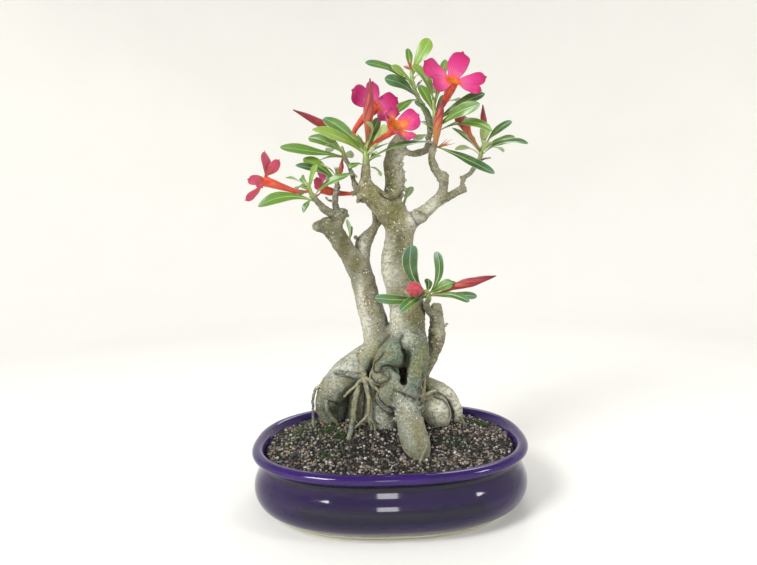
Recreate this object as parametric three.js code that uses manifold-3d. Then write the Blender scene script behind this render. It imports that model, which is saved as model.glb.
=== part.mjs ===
// Potted desert rose (adenium) grown as a bonsai in an oval glazed pot.
// Millimetres, +Z up. The origin is the middle of the pot's flat base.
import * as THREE from "three";
import Module from "manifold-3d";

const wasm = await Module();
wasm.setup();

// Pot: half axes of its rim, height, wall and the roundness of its oval
const rimHalfLength = 142;
const rimHalfWidth = 109;
const potHeight = 66;
const potWall = 9;
const floorThickness = 8;
const ovalPower = 2.4;
const ovalSides = 32;
const drainRadius = 6;
const drainSpacing = 96;
const drainSides = 8;
const cutReach = 5;

// Soil: its level at the wall and under the trunk, and the height of its lumps
const soilEdgeLevel = 58.5;
const soilCrownLevel = 63;
const soilFloorGap = 0.4;
const soilLump = 0.7;
const soilRings = 4;
const lumpWave = { x: 0.37, y: 0.21, crossX: 0.17, crossY: 0.43 };

// Clearance kept between two pieces that touch on the real plant
const seatGap = 0.32;

// Thickness of the living pieces
const leafThickness = 0.9;
const petalThickness = 0.8;
const tubeWall = 1.1;
const petalSink = 0.9;
const petalArch = -2.5;
const endDome = 0.3;
const throatSides = 10;
const tubeSides = 6;
const budSides = 7;
const stemSides = 6;
const leafInset = 0.8;

// The hollow of a throat: shares of its length where it starts and ends, and its narrow end
const hollowStart = 0.35;
const hollowEnd = 1.6;
const hollowTaper = 0.8;
const hollowFlare = 1;

// Outline of the pot: [height, outward step from the rim's half axes]
const potOutside = [
  [0, -23],
  [4, -17],
  [13, -5.5],
  [23, -1.5],
  [33, -2.5],
  [43, -7.5],
  [51, -9.8],
  [57, -3],
  [62, 0],
  [potHeight, -3.5],
];
const potInside = [
  [potHeight, -9],
  [61, -12],
  [47, -9.5 - potWall],
  [28, -2.5 - potWall],
  [13, -9 - potWall],
  [floorThickness, -18 - potWall],
];

// Woody limbs, each [sides, points], with points of x, y, z and radius
const trunks = [
  [12, [[21, 18, 132, 19.5], [22, 16, 152, 18.4], [23, 16, 173, 18.9], [23, 15, 195, 18.9],
    [20, 14, 217, 19.3], [15.5, 13, 239, 18.2], [14, 12, 255, 16.5], [17, 12, 271, 14.3],
    [18, 12, 285, 13.6], [13, 13, 300, 12.4]]],
  [10, [[-6, 24, 132, 17.5], [-7, 24, 151, 16.5], [-10, 24, 168, 15.4], [-14, 23, 187, 14.2],
    [-18, 22, 203, 13.5], [-21, 20, 218, 13], [-25, 17, 234, 12.9], [-35, 13, 252, 11],
    [-45, 8, 269, 10.1], [-52, 5, 282, 9.4], [-58, 4, 288, 8.2]]],
];
const boughs = [
  [8, [[15, 12, 288, 13], [5, 8, 302, 13.4], [-6, 4, 313, 12.2], [-15, -1, 322, 10],
    [-17, -4, 330, 6.4], [-16.5, -7, 339, 4.6], [-16, -8.4, 344, 4.2]]],
  [6, [[-20, 4, 314, 4.8], [-26, 6, 324, 4], [-29, 9, 332, 3.4], [-32, 12, 343, 3.1],
    [-36, 14, 353, 2.7], [-38.5, 14.6, 358, 2.4]]],
  [8, [[11, 14, 296, 11], [10, 16, 310, 10.6], [11.5, 18, 324, 10.1], [14, 20, 337, 10.5],
    [12, 20, 351, 10.1], [15, 18, 364, 9.6], [21, 16, 375, 7.9], [26, 15, 381, 5]]],
  [6, [[23, 16, 376, 3.4], [29, 14, 383, 2.6], [31, 12, 391, 2.1]]],
  [6, [[18, 18, 364, 4.2], [26, 17, 363.5, 3.7], [36.5, 12, 361, 3.7], [46, 8, 363, 3.8],
    [50, 6, 375, 3.1], [51, 4, 389, 3.1], [47, 5, 401, 2.8], [43.5, 6.2, 409, 2.6]]],
  [8, [[17, 12, 279, 12.5], [23, 10, 285, 11.4], [31, 8, 291, 8.9], [39, 7, 296, 8.2],
    [47, 6, 302, 6.9], [56, 5, 310, 6.3], [61, 4, 316, 5.8], [63, 3, 324, 5],
    [63, 1, 333, 5.5], [56.5, -2, 339, 4.7], [53, -4, 346, 3.7], [51, -6, 354.5, 3.1],
    [53, -8, 361, 2.9]]],
  [8, [[57, 5, 309, 4.6], [70.5, 6, 315, 4.5], [80, 8, 320, 4.2], [86, 9, 322, 3.8]]],
  [6, [[83, 8.5, 321, 3.2], [84.5, 9, 328, 3.1], [87, 9, 334, 3.1], [93, 8, 338, 2.9],
    [97, 7, 344, 2.5], [101.5, 6, 351, 2.3]]],
  [8, [[-55, 4.5, 286, 7], [-63, 3.5, 287, 6.3], [-73, 3, 287, 4.8]]],
  [8, [[-52, 5, 281, 7], [-50, 5, 288, 6.6], [-46, 6, 296, 6.2], [-43.5, 7, 304, 5.6], [-41, 7, 309, 4.2]]],
  [6, [[-46, 5, 297, 4.2], [-57, 2, 302, 4.2], [-65, -2, 309, 3.4], [-69, -5, 314.5, 2.9]]],
  [6, [[-46, 7, 300, 4.2], [-49.5, 8, 309, 3.4], [-49, 9, 320, 3.1], [-47, 10, 329, 2.6]]],
  [8, [[-24, 19, 234, 10], [-24, 21, 244, 9.7], [-24, 26, 259, 9.2], [-20, 28, 271, 8.4],
    [-13.5, 29, 279, 6], [-8, 30, 287, 4.6], [-2, 31, 292, 3.6]]],
  [6, [[-8, 30, 288, 3.4], [-9, 30, 296, 3.1], [-9.5, 30, 303, 2.5]]],
  [8, [[37, 16, 118, 5], [45, 18, 133, 5], [50, 22, 144, 6.2], [54.5, 24, 158, 8.8],
    [56, 23, 176, 8.3], [55, 20, 192, 7.2], [56, 18, 198, 5.8]]],
  [6, [[52, 16, 190, 4.4], [46, 8, 195, 3.9], [42.5, -4, 203, 3.2], [44, -12, 208.5, 2.8]]],
];
const roots = [
  [9, [[14, 14, 168, 13], [-2, 18, 152, 14.2], [-16, 16, 146, 15.2], [-34, 14, 135, 16.2],
    [-52, 16, 118.5, 16.9], [-64, 20, 102, 14.8], [-68, 24, 88, 11.8], [-64, 26, 74, 9.6],
      [-62, 28, 58, 8]]],
  [8, [[-38, 24, 126, 13], [-42, 28, 112, 12.4], [-40, 29, 92, 10.6], [-38, 30, 74, 9.4],
    [-37, 30, 57, 8.4]]],
  [9, [[22, 6, 170, 9], [16, 1, 161, 10.8], [6, -2, 153, 13.2], [-2, -3, 145, 11.6], [-9, -4, 140, 7]]],
  [8, [[-6, -2, 139, 7], [-10, -5, 132, 8.6], [-8, -4, 124, 7]]],
  [9, [[25, 8, 178, 11], [30, 2, 167, 12.4], [33, -1, 153, 11.5], [32, -3, 138, 10.6],
    [27.5, -6, 126, 10.5], [19, -9, 117, 11.5], [12, -10, 110, 10.5]]],
  [8, [[-5, -1, 133.5, 5.6], [2, -5, 134, 7], [6.5, -7, 127, 8.2], [6, -8, 116, 11]]],
  [9, [[8, -8, 118, 10.5], [-2, -10, 108, 11.6], [-6, -8, 100, 9]]],
  [9, [[10, -8, 116, 11], [16, -12, 110, 13], [18, -18, 101, 13], [19, -26, 93, 13],
    [21.5, -34, 83, 13.6], [25, -42, 72, 13.8], [27, -47, 65, 12.2], [28, -51, 55, 9.5]]],
  [9, [[-9, 4, 112, 10], [-10, 6, 102, 9.8], [-8, 7, 86.5, 11.6], [-5, 6, 74, 13.6], [-3, 9, 57, 13.5]]],
  [9, [[36, 12, 98, 10], [47, 11, 89, 14.2], [52, 10, 84, 15.6], [56, 10, 77, 13.4], [58, 11, 66, 9]]],
  [8, [[30, 14, 126, 7], [39.5, 14, 119, 6.8], [51, 18, 112, 7.1], [63, 22, 105, 7.2],
    [72, 22, 94, 6.8], [76, 21, 82.5, 6.8], [78, 22, 70, 6.8], [79, 23, 56, 6.6]]],
  [9, [[20, 20, 140, 20], [22, 26, 118, 23], [24, 29, 98, 23], [24, 30, 78, 22], [24, 30, 57, 20]]],
  [8, [[-12, 22, 132, 17], [-18, 24, 112, 16], [-20, 26, 90, 14], [-20, 27, 70, 13], [-20, 27, 57, 12]]],
];
const aerialRoots = [
  [5, [[-24, 2, 124, 4], [-23, -3, 117, 2.6], [-19.5, -6, 106, 2.2], [-18.6, -8, 93, 2],
    [-19.5, -8.5, 80, 1.8], [-17, -9, 66, 1.5], [-16.5, -9, 58, 1.4]]],
  [5, [[-27, 3, 118, 4], [-30, 0, 110, 3.2], [-32, -1, 98, 3.1], [-34, -1, 84, 2.8],
    [-38, -1, 72, 2.4], [-41, 0, 56, 2]]],
  [5, [[-68, 12, 116, 2.4], [-79, 12, 112, 1.6], [-85, 14, 102, 1.5], [-87.5, 16, 88, 1.5],
    [-87, 18, 72, 1.4], [-86, 20, 56, 1.4]]],
  [5, [[-60, 2, 104, 3], [-64, -2, 92, 2], [-62, -5, 80, 1.8], [-58, -7, 68, 1.6], [-55, -8, 57, 1.5]]],
];

// Leafy shoots: a green stem of x, y, z, radius points and its leaves.
// A leaf is [base, tip, width, arch, roll in degrees].
const shoots = {
  leaves_top: {
    stem: [[44.4, 5.9, 407, 2.4], [42, 6.5, 412, 2.3], [37, 8, 423, 2.2], [34, 8, 435, 2],
      [33, 8.5, 446, 1.4]],
    leaves: [
      [[34, 8, 441], [53, 4, 474], 16, 4, 65],
      [[33, 9, 443], [31, 16, 470], 8, 1, 50],
      [[34, 7.5, 431], [-14, -4, 450], 13, 5, -68],
      [[36, 7.5, 425], [12, -6, 445], 14, 3, -72],
      [[38.5, 7, 420], [6, -14, 431], 14, 5, -66],
      [[41, 6, 415], [16, -14, 397], 10, 3, -40],
      [[34, 9, 437], [41, 24, 454], 9, 2, 20],
      [[36, 9, 428], [16, 46, 442], 12, 5, 0],
      [[39, 8, 420], [66, 40, 430], 12, 6, 0],
      [[34, 9, 433], [54, 36, 452], 11, 4, 0],
    ],
  },
  leaves_right: {
    stem: [[52.7, -7.7, 359, 2.8], [54, -9, 366, 2.7], [56, -9.5, 376, 2.6], [55.5, -8, 390, 2.4],
      [54, -7, 404, 2], [53.7, -6.6, 413, 1.4]],
    leaves: [
      [[54, -7, 409], [33.5, -15, 443], 16, 5, -72],
      [[54.5, -6, 402], [70, 14, 457], 9, 3, 35],
      [[56, -8.5, 388], [102, -25, 410], 12, 5, 50],
      [[56.5, -9.5, 382], [93, -40, 393], 14, 5, 34],
      [[56.5, -9, 375], [107, -33, 371], 9, 9, 10],
      [[54, -9, 364], [111, -22, 333], 12, 4, 35],
      [[54.5, -8, 384], [34, -16, 407], 10, 3, -60],
      [[55, -7, 380], [38, 17, 394], 9, 3, -20],
      [[54.5, -7.5, 396], [40, -5, 426], 11, 3, -65],
      [[55, -6, 393], [72, 5, 418], 10, 3, 45],
      [[55, -7, 386], [60, 40, 404], 12, 6, 0],
      [[54.5, -6, 399], [86, 24, 416], 12, 5, 0],
      [[55, -8, 372], [36, 28, 374], 11, 6, 0],
    ],
  },
  leaves_middle: {
    stem: [[-16.2, -8, 342, 4.1], [-15.8, -9.5, 350, 3.6], [-15.7, -10, 358, 3.1], [-15.3, -10.6, 364, 2.4],
      [-15, -11, 369, 1.5]],
    leaves: [
      [[-16.5, -11, 357], [-67, -30, 379], 17, 6, -55],
      [[-16.5, -10, 360], [-58, -4, 396], 14, 6, -60],
      [[-15.5, -11, 363], [-30, -27, 377], 8, 2, -25],
      [[-15.3, -10, 366], [-16, -6, 390], 7, 1, 60],
      [[-14.6, -9.5, 364], [-2, 2, 396], 10, 2, 50],
      [[-14.6, -9.5, 361], [4, -10, 382], 10, 2, 55],
      [[-14.6, -10, 357], [7, -14, 367], 6, 1, 20],
      [[-15, -10.5, 351], [46, -36, 363], 12, 5, 40],
      [[-14.8, -9, 361], [-4, 9, 381], 7, 2, 30],
      [[-15, -8.5, 349], [-1, 6, 360], 8, 3, 30],
      [[-14.5, -8, 346], [-1, -3, 336], 9, 3, 0],
      [[-17, -9, 347], [-33, -16, 343], 8, 3, -25],
      [[-15.8, -9, 358], [-20, 38, 378], 13, 6, 0],
      [[-15.8, -9, 361], [-42, 28, 388], 12, 5, 0],
      [[-15, -9, 355], [-6, 36, 362], 11, 5, 0],
    ],
  },
  leaves_back_left: {
    stem: [[-37.8, 14.4, 356, 2.3], [-39.5, 15, 361, 2.2], [-40.5, 15.3, 366, 1.9],
      [-41.4, 15.6, 371, 1.3]],
    leaves: [
      [[-40, 14.6, 362], [-105, 0, 369], 10, 5, -45],
      [[-40.6, 15.4, 364], [-77, 20, 382], 13, 4, -60],
      [[-41, 15.6, 367], [-67, 30, 388], 9, 2, -40],
      [[-40.6, 14.8, 366], [-57, -2, 370], 8, 2, -20],
      [[-39, 14, 359], [-64, -9, 353], 6, 2, 0],
      [[-40.4, 15.6, 364], [-60, 54, 372], 11, 5, 0],
      [[-39.6, 15.6, 361], [-33, 58, 366], 11, 5, 0],
    ],
  },
  leaves_left: {
    stem: [[-47.4, 9.8, 327, 2.6], [-47.4, 10, 333, 2.3], [-47.5, 10, 338, 2], [-47.6, 10, 344, 1.3]],
    leaves: [
      [[-48, 9.6, 335], [-81, 3, 357], 14, 4, -58],
      [[-48, 9, 333], [-87, -12, 348], 11, 4, -50],
      [[-47.6, 9, 339], [-62, -8, 349], 8, 2, -35],
      [[-47.4, 10.6, 340], [-47, 26, 351], 8, 2, 10],
      [[-46.8, 9.2, 336], [-31, 0, 339], 8, 3, 30],
      [[-47, 10.6, 332], [-64, 44, 340], 12, 5, 0],
      [[-46.6, 10.6, 335], [-28, 46, 342], 10, 5, 0],
    ],
  },
  leaves_low_left: {
    stem: [[-67.8, -4.2, 312.6, 2.8], [-71, -6.4, 317, 2.7], [-73.4, -8, 321.5, 2.4], [-74.6, -9.4, 326, 2],
      [-75.2, -10, 331, 1.3]],
    leaves: [
      [[-73, -8.4, 318], [-124, -24, 307], 12, 10, -45],
      [[-74, -9, 325], [-95, -26, 334], 9, 3, -25],
      [[-73.6, -9, 323], [-64, -24, 346], 10, 2, 50],
      [[-71, -7.4, 317], [-33, -18, 336], 9, 4, 40],
      [[-74.6, -8.6, 327], [-84, 4, 339], 8, 3, -30],
      [[-71.5, -7.5, 315], [-80, -18, 300], 7, 3, -25],
      [[-73.6, -7.4, 322], [-92, 26, 328], 11, 6, 0],
    ],
  },
  leaves_far_right: {
    stem: [[100.8, 6.1, 349.5, 2.2], [103, 5.8, 355, 2.3], [104, 5.6, 360, 2.1], [105.6, 5.3, 366, 1.3]],
    leaves: [
      [[105.2, 5.6, 364], [110, 4, 388], 11, 1, 70],
      [[105, 5, 362], [132, -10, 386], 11, 4, 50],
      [[105, 6, 361], [141, 14, 376], 8, 3, 35],
      [[104.4, 4.6, 357], [147, -14, 363], 12, 8, 45],
      [[104, 4.4, 359], [104, -26, 363], 11, 4, 0],
      [[103, 5.4, 358], [73, -2, 380], 7, -2, -20],
      [[103.4, 6.4, 357], [110, 42, 368], 12, 5, 0],
      [[104.6, 6.2, 360], [134, 36, 364], 11, 5, 0],
      [[103, 6.6, 356], [82, 38, 368], 11, 5, 0],
    ],
  },
  leaves_trunk_spray: {
    stem: [[43.6, -10.8, 207.4, 2.6], [44, -15, 210.5, 2.6], [43, -19.5, 213.5, 2.8],
      [41.6, -22.4, 217, 2.2],
      [41, -24, 220, 1.5]],
    leaves: [
      [[41, -23, 218], [27, -28, 262], 16.5, 2, 0],
      [[43.6, -20, 216.5], [52, -23, 257], 10, 2, 0],
      [[41.4, -20, 212.5], [-10.5, -36, 214], 10, 6, -35],
      [[41.6, -21.6, 213.5], [13, -47, 202], 10, 5, -20],
      [[42, -23, 218.4], [43.5, -34, 230], 8, 1, 0],
      [[44, -20, 216], [66, -32, 227], 11, 3, 25],
      [[44.4, -18, 213], [91, -26, 212], 8, 5, 15],
      [[43.6, -20.4, 213], [80, -45, 209], 8, 4, 0],
      [[42, -22.4, 214.4], [33, -44, 213], 9, 3, 0],
      [[44.6, -16, 212], [76, 0, 224], 10, 4, 0],
    ],
  },
  leaves_fork: {
    stem: [[-36.5, 11, 262, 1.6], [-36.2, 10.6, 269, 1.5], [-36, 10, 274, 1.2]],
    leaves: [
      [[-36.2, 9.8, 271], [-38, 5, 294], 5, 1, 0],
      [[-36.4, 10, 270], [-47, 0, 287], 4, 1, 0],
      [[-36, 10.6, 271], [-34.5, 19, 287], 5, 1, 0],
    ],
  },
  leaves_rear: {
    stem: [[20, 17, 305, 2], [23, 21, 310.5, 1.7], [25, 24, 315, 1.2]],
    leaves: [
      [[24, 23, 312], [34, 30, 328], 8, 2, 0],
      [[24.4, 23, 313], [20, 44, 326], 8, 2, 0],
    ],
  },
};

// Twisted buds on their short stalks, as x, y, z, radius points
const buds = {
  bud_left: [[-16.4, -8, 363, 1.2], [-24, 0, 370, 1.6], [-36, 8, 379, 2.4], [-50, 9, 387, 3.6],
    [-60, 6, 392, 4.4], [-73, 0, 398, 3.2], [-88, -6, 404.5, 0.5]],
  bud_middle: [[-14.8, -11.6, 367, 1.1], [-14, -22, 370, 1.7], [-13, -33, 376, 2.8], [-12.2, -38, 387, 5.2],
    [-11, -41, 398, 5], [-9.9, -43, 409, 3], [-9.3, -45, 421, 0.5]],
  bud_right: [[55, -10, 362.5, 1.2], [54.6, -15, 366, 2], [55.2, -18, 376, 3.8], [57, -20, 388, 4.4],
    [59, -22, 397, 3.2], [60.5, -24, 406, 0.5]],
  bud_far_right: [[102.6, 4.4, 360.5, 1.1], [97, -1, 366, 1.6], [90, -6, 375, 2.4], [84.5, -11, 383, 5],
    [79.5, -14, 389, 5.6], [75, -16, 394, 3], [73.5, -17, 396.5, 0.8]],
  bud_upper_right: [[105.8, 6.6, 364.5, 1.1], [108, 11.4, 371, 1.7], [108, 11, 383, 2.8],
    [107.4, 10, 394, 3.2], [106.8, 9, 408, 0.5]],
  bud_trunk_spray: [[44, -21.4, 214, 1.1], [52, -24, 215.5, 1.3], [61, -25.5, 219, 1.6],
    [69, -27, 222.6, 3.4], [82, -31, 226, 4.6], [95, -34.5, 229.4, 3.2], [107.5, -38, 232.5, 0.5]],
  bud_trunk_front: [[41.5, -23, 215.6, 1.1], [37, -30, 217.5, 1.8], [31.5, -38, 220, 4.2],
    [27.5, -46, 222, 6.4], [25, -51, 222.6, 5.4], [23.5, -54, 223, 1]],
  bud_small_left: [[-46.4, 8.6, 337.5, 1], [-44, 5, 341, 1.5], [-42, 3.6, 347, 2.5], [-40.6, 3, 356, 0.6]],
};

// Blooms: stalk and tube points, the mouth, the way it faces, and its petals.
// A petal is [turn round the mouth, length, width, flare from the mouth's axis], angles in degrees.
const blooms = {
  bloom_top: {
    tube: [[56, -9, 391, 1.3], [59, -13, 397.5, 2], [64, -20, 406, 3.2], [68, -28, 414, 5]],
    mouth: [70, -34, 420.5],
    facing: [0.15, -0.93, 0.33],
    mouthRadius: 6.4,
    petals: [[146, 29, 17, 78], [75, 29, 19, 82], [4, 30, 15, 80], [-34, 24, 12, 74], [217, 19, 19, 70]],
  },
  bloom_middle: {
    tube: [[-15.8, -11, 366.4, 1.2], [-21.5, -13, 370.6, 1.6], [-27, -15.4, 377.5, 2.2],
      [-20, -18, 388, 3.2],
      [-11.5, -20, 395.4, 4.8]],
    mouth: [-3, -24, 401.5],
    facing: [0.42, -0.8, 0.42],
    mouthRadius: 6.2,
    petals: [[150, 25, 15, 74], [88, 23, 13, 78], [24, 25, 17, 78], [-20, 19, 13, 70], [-68, 17, 16, 66]],
  },
  bloom_centre: {
    tube: [[-14.4, -12, 362.5, 1.2], [-9, -16.5, 365.6, 1.8], [-3, -20.5, 369.2, 2.8],
      [7, -29, 374.4, 4.6]],
    mouth: [15, -35, 379],
    facing: [0.78, -0.45, 0.43],
    mouthRadius: 6.6,
    petals: [[95, 19, 13, 44], [23, 19, 13, 40], [-49, 20, 14, 40], [-121, 18, 12, 40], [167, 17, 12, 44]],
  },
  bloom_left: {
    tube: [[-74.6, -9.6, 322, 1.3], [-84, -12, 321.5, 2], [-96, -14, 325, 3], [-109, -16, 329.6, 4.4]],
    mouth: [-119, -18, 333],
    facing: [-0.9, -0.3, 0.25],
    mouthRadius: 5.8,
    petals: [[100, 24, 12, 72], [52, 21, 12, 66], [-12, 15, 12, 30], [-75, 25, 10, 76], [188, 18, 12, 66]],
  },
  bloom_back_left: {
    tube: [[-24.5, 10, 322.5, 1.3], [-32, 16, 321.5, 1.8], [-46, 21, 322.5, 3], [-57, 21, 325, 4.6]],
    mouth: [-65, 20.5, 328],
    facing: [-0.93, -0.15, 0.33],
    mouthRadius: 5.6,
    petals: [[90, 15, 11, 42], [18, 15, 11, 36], [-54, 15, 11, 36], [-126, 14, 10, 36], [162, 15, 10, 42]],
  },
};

// Share of a blade's length, and share of its width there
const leafOutline = [[0, 0.16], [0.3, 0.6], [0.62, 1], [0.87, 0.72], [1, 0.1]];
const petalOutline = [[0, 0.3], [0.32, 0.72], [0.66, 1], [0.9, 0.74], [1, 0.2]];

const barkColour = 0x9d9c84;
const leafColour = 0x5f8f35;
const petalColour = 0xd81e6e;
const tubeColour = 0xe0604a;
const budColour = 0xb01c3c;
const glazeColour = 0x2b1a55;
const soilColour = 0x3a302b;

function toSolid(vertices, triangles) {
  return new wasm.Manifold(new wasm.Mesh({
    numProp: 3,
    vertProperties: new Float32Array(vertices),
    triVerts: new Uint32Array(triangles),
  }));
}

function joined(solids) {
  return solids.reduce((whole, piece) => whole.add(piece));
}

// The largest closed body, which leaves out loose scraps and the skins of sealed hollows
function mainBody(solid) {
  const bodies = solid.decompose();
  return bodies.reduce((best, body) => (body.volume() > best.volume() ? body : best));
}

// Rings of equal size, each a list of points, skinned into a closed solid with a point at each end
function skin(rings, firstTip, lastTip) {
  const sides = rings[0].length;
  const vertices = [];
  rings.forEach((ring) => ring.forEach((point) => vertices.push(point.x, point.y, point.z)));
  const first = vertices.length / 3;
  vertices.push(firstTip.x, firstTip.y, firstTip.z, lastTip.x, lastTip.y, lastTip.z);
  const triangles = [];
  for (let side = 0; side < sides; side += 1) {
    const next = (side + 1) % sides;
    triangles.push(first, next, side);
    const top = (rings.length - 1) * sides;
    triangles.push(first + 1, top + side, top + next);
    for (let ring = 0; ring + 1 < rings.length; ring += 1) {
      const low = ring * sides;
      const high = low + sides;
      triangles.push(low + side, low + next, high + next, low + side, high + next, high + side);
    }
  }
  return toSolid(vertices, triangles);
}

function point(list) {
  return new THREE.Vector3(list[0], list[1], list[2]);
}

// A round limb that follows its points, with a radius at each and slightly domed ends
function limb(points, sides, grow) {
  const curve = new THREE.CatmullRomCurve3(points.map(point), false, "centripetal");
  const rings = [];
  let across = null;
  points.forEach((entry, index) => {
    const along = curve.getTangent(index / (points.length - 1));
    if (across === null) {
      across = Math.abs(along.z) > 0.9 ? new THREE.Vector3(1, 0, 0) : new THREE.Vector3(0, 0, 1);
    }
    across = across.clone().addScaledVector(along, -across.dot(along)).normalize();
    const up = along.clone().cross(across);
    const ring = [];
    for (let side = 0; side < sides; side += 1) {
      const angle = (2 * Math.PI * side) / sides;
      const reach = entry[3] + grow;
      ring.push(point(entry)
        .addScaledVector(across, Math.cos(angle) * reach)
        .addScaledVector(up, Math.sin(angle) * reach));
    }
    rings.push(ring);
  });
  const first = points[0];
  const last = points[points.length - 1];
  const start = point(first).addScaledVector(curve.getTangent(0), -endDome * first[3] - grow);
  const end = point(last).addScaledVector(curve.getTangent(1), endDome * last[3] + grow);
  return skin(rings, start, end);
}

// A thin blade arched along its length, with an even thickness. Both faces are split alike.
function blade(shape, grow) {
  const tip = point(shape.tip);
  const way = tip.clone().sub(point(shape.base)).normalize();
  const base = point(shape.base).addScaledVector(way, shape.inset);
  const length = tip.distanceTo(base);
  const face = shape.axis.clone().addScaledVector(way, -shape.axis.dot(way)).normalize();
  face.applyAxisAngle(way, THREE.MathUtils.degToRad(shape.roll));
  const half = shape.thickness / 2 + grow;
  const vertices = [];
  shape.outline.forEach(([share, widthShare], index) => {
    const stretch = index === shape.outline.length - 1 ? grow : 0;
    const arch = 4 * share * (1 - share) * shape.arch;
    const centre = base.clone().addScaledVector(way, length * share + stretch).addScaledVector(face, arch);
    const slope = (4 * shape.arch * (1 - 2 * share)) / length;
    const along = way.clone().addScaledVector(face, slope).normalize();
    const normal = face.clone().addScaledVector(along, -face.dot(along)).normalize();
    const side = along.clone().cross(normal);
    const reach = (shape.width * widthShare) / 2 + grow;
    [[-reach, half], [reach, half], [reach, -half], [-reach, -half]].forEach(([across, thick]) => {
      const corner = centre.clone().addScaledVector(side, across).addScaledVector(normal, thick);
      vertices.push(corner.x, corner.y, corner.z);
    });
  });
  const triangles = [0, 3, 2, 0, 2, 1];
  const top = (shape.outline.length - 1) * 4;
  for (let low = 0; low < top; low += 4) {
    const high = low + 4;
    triangles.push(low, low + 1, high + 1, low, high + 1, high);
    triangles.push(low + 3, high + 2, low + 2, low + 3, high + 3, high + 2);
    triangles.push(low, high, high + 3, low, high + 3, low + 3);
    triangles.push(low + 1, low + 2, high + 2, low + 1, high + 2, high + 1);
  }
  triangles.push(top, top + 2, top + 3, top, top + 1, top + 2);
  return toSolid(vertices, triangles);
}

// One level of the pot's oval, drawn in from the rim's half axes
function ovalRing(level, inset, share = 1, lump = 0) {
  const ring = [];
  for (let side = 0; side < ovalSides; side += 1) {
    const angle = (2 * Math.PI * side) / ovalSides;
    const cosine = Math.cos(angle);
    const sine = Math.sin(angle);
    const x = Math.sign(cosine) * Math.abs(cosine) ** (2 / ovalPower) * (rimHalfLength + inset) * share;
    const y = Math.sign(sine) * Math.abs(sine) ** (2 / ovalPower) * (rimHalfWidth + inset) * share;
    const wave = Math.sin(x * lumpWave.x + y * lumpWave.y);
    const rise = lump * (wave + Math.cos(y * lumpWave.crossY - x * lumpWave.crossX));
    ring.push(new THREE.Vector3(x, y, level + rise));
  }
  return ring;
}

function ovalSolid(levels) {
  const rings = levels.map(([level, inset]) => ovalRing(level, inset));
  const lowest = new THREE.Vector3(0, 0, levels[0][0]);
  const highest = new THREE.Vector3(0, 0, levels[levels.length - 1][0]);
  return skin(rings, lowest, highest);
}

function makePot() {
  const body = ovalSolid(potOutside);
  const above = [potHeight + cutReach, potInside[0][1] + 1];
  const hollow = ovalSolid([...potInside].reverse().concat([above]));
  let pot = body.subtract(hollow);
  [-drainSpacing / 2, drainSpacing / 2].forEach((x) => {
    const low = [x, 0, -cutReach, drainRadius];
    const high = [x, 0, floorThickness + cutReach, drainRadius];
    const hole = limb([low, high], drainSides, 0);
    pot = pot.subtract(hole);
  });
  return mainBody(pot);
}

// How far in from the rim's half axes the inside wall lies at a level
function insideInset(level) {
  const index = potInside.findIndex(([height]) => height <= level);
  const [high, highInset] = potInside[index - 1];
  const [low, lowInset] = potInside[index];
  return lowInset + ((level - low) / (high - low)) * (highInset - lowInset);
}

// The soil fills the pot, heaps slightly under the trunk and is let in round every root
function makeSoil(wood) {
  const sides = potInside.filter(([level]) => level < soilEdgeLevel).reverse();
  const rings = sides.map(([level, inset], index) => (
    ovalRing(level + (index === 0 ? soilFloorGap : 0), inset - seatGap)));
  const edgeInset = insideInset(soilEdgeLevel) - seatGap;
  rings.push(ovalRing(soilEdgeLevel, edgeInset));
  for (let step = 1; step < soilRings; step += 1) {
    const share = 1 - step / soilRings;
    const level = soilEdgeLevel + (soilCrownLevel - soilEdgeLevel) * (1 - share ** 2);
    rings.push(ovalRing(level, edgeInset, share, soilLump));
  }
  const floor = new THREE.Vector3(0, 0, floorThickness + soilFloorGap);
  const crown = new THREE.Vector3(0, 0, soilCrownLevel);
  return mainBody(skin(rings, floor, crown).subtract(wood));
}

function makeWood(grow) {
  const limbs = [...trunks, ...boughs, ...roots, ...aerialRoots];
  return mainBody(joined(limbs.map(([sides, points]) => limb(points, sides, grow))));
}

function makeShoot(shoot, grow) {
  const stem = shoot.stem;
  const axis = point(stem[stem.length - 1]).sub(point(stem[0])).normalize();
  const leaves = shoot.leaves.map(([base, tip, width, arch, roll]) => blade({
    base, tip, width, arch, roll, axis, inset: leafInset, outline: leafOutline, thickness: leafThickness,
  }, grow));
  return joined([limb(stem, stemSides, grow), ...leaves]);
}

// Outside of a bloom's tube, from the stalk to its mouth
function tubePoints(bloom) {
  return [...bloom.tube, [...bloom.mouth, bloom.mouthRadius]];
}

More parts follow.
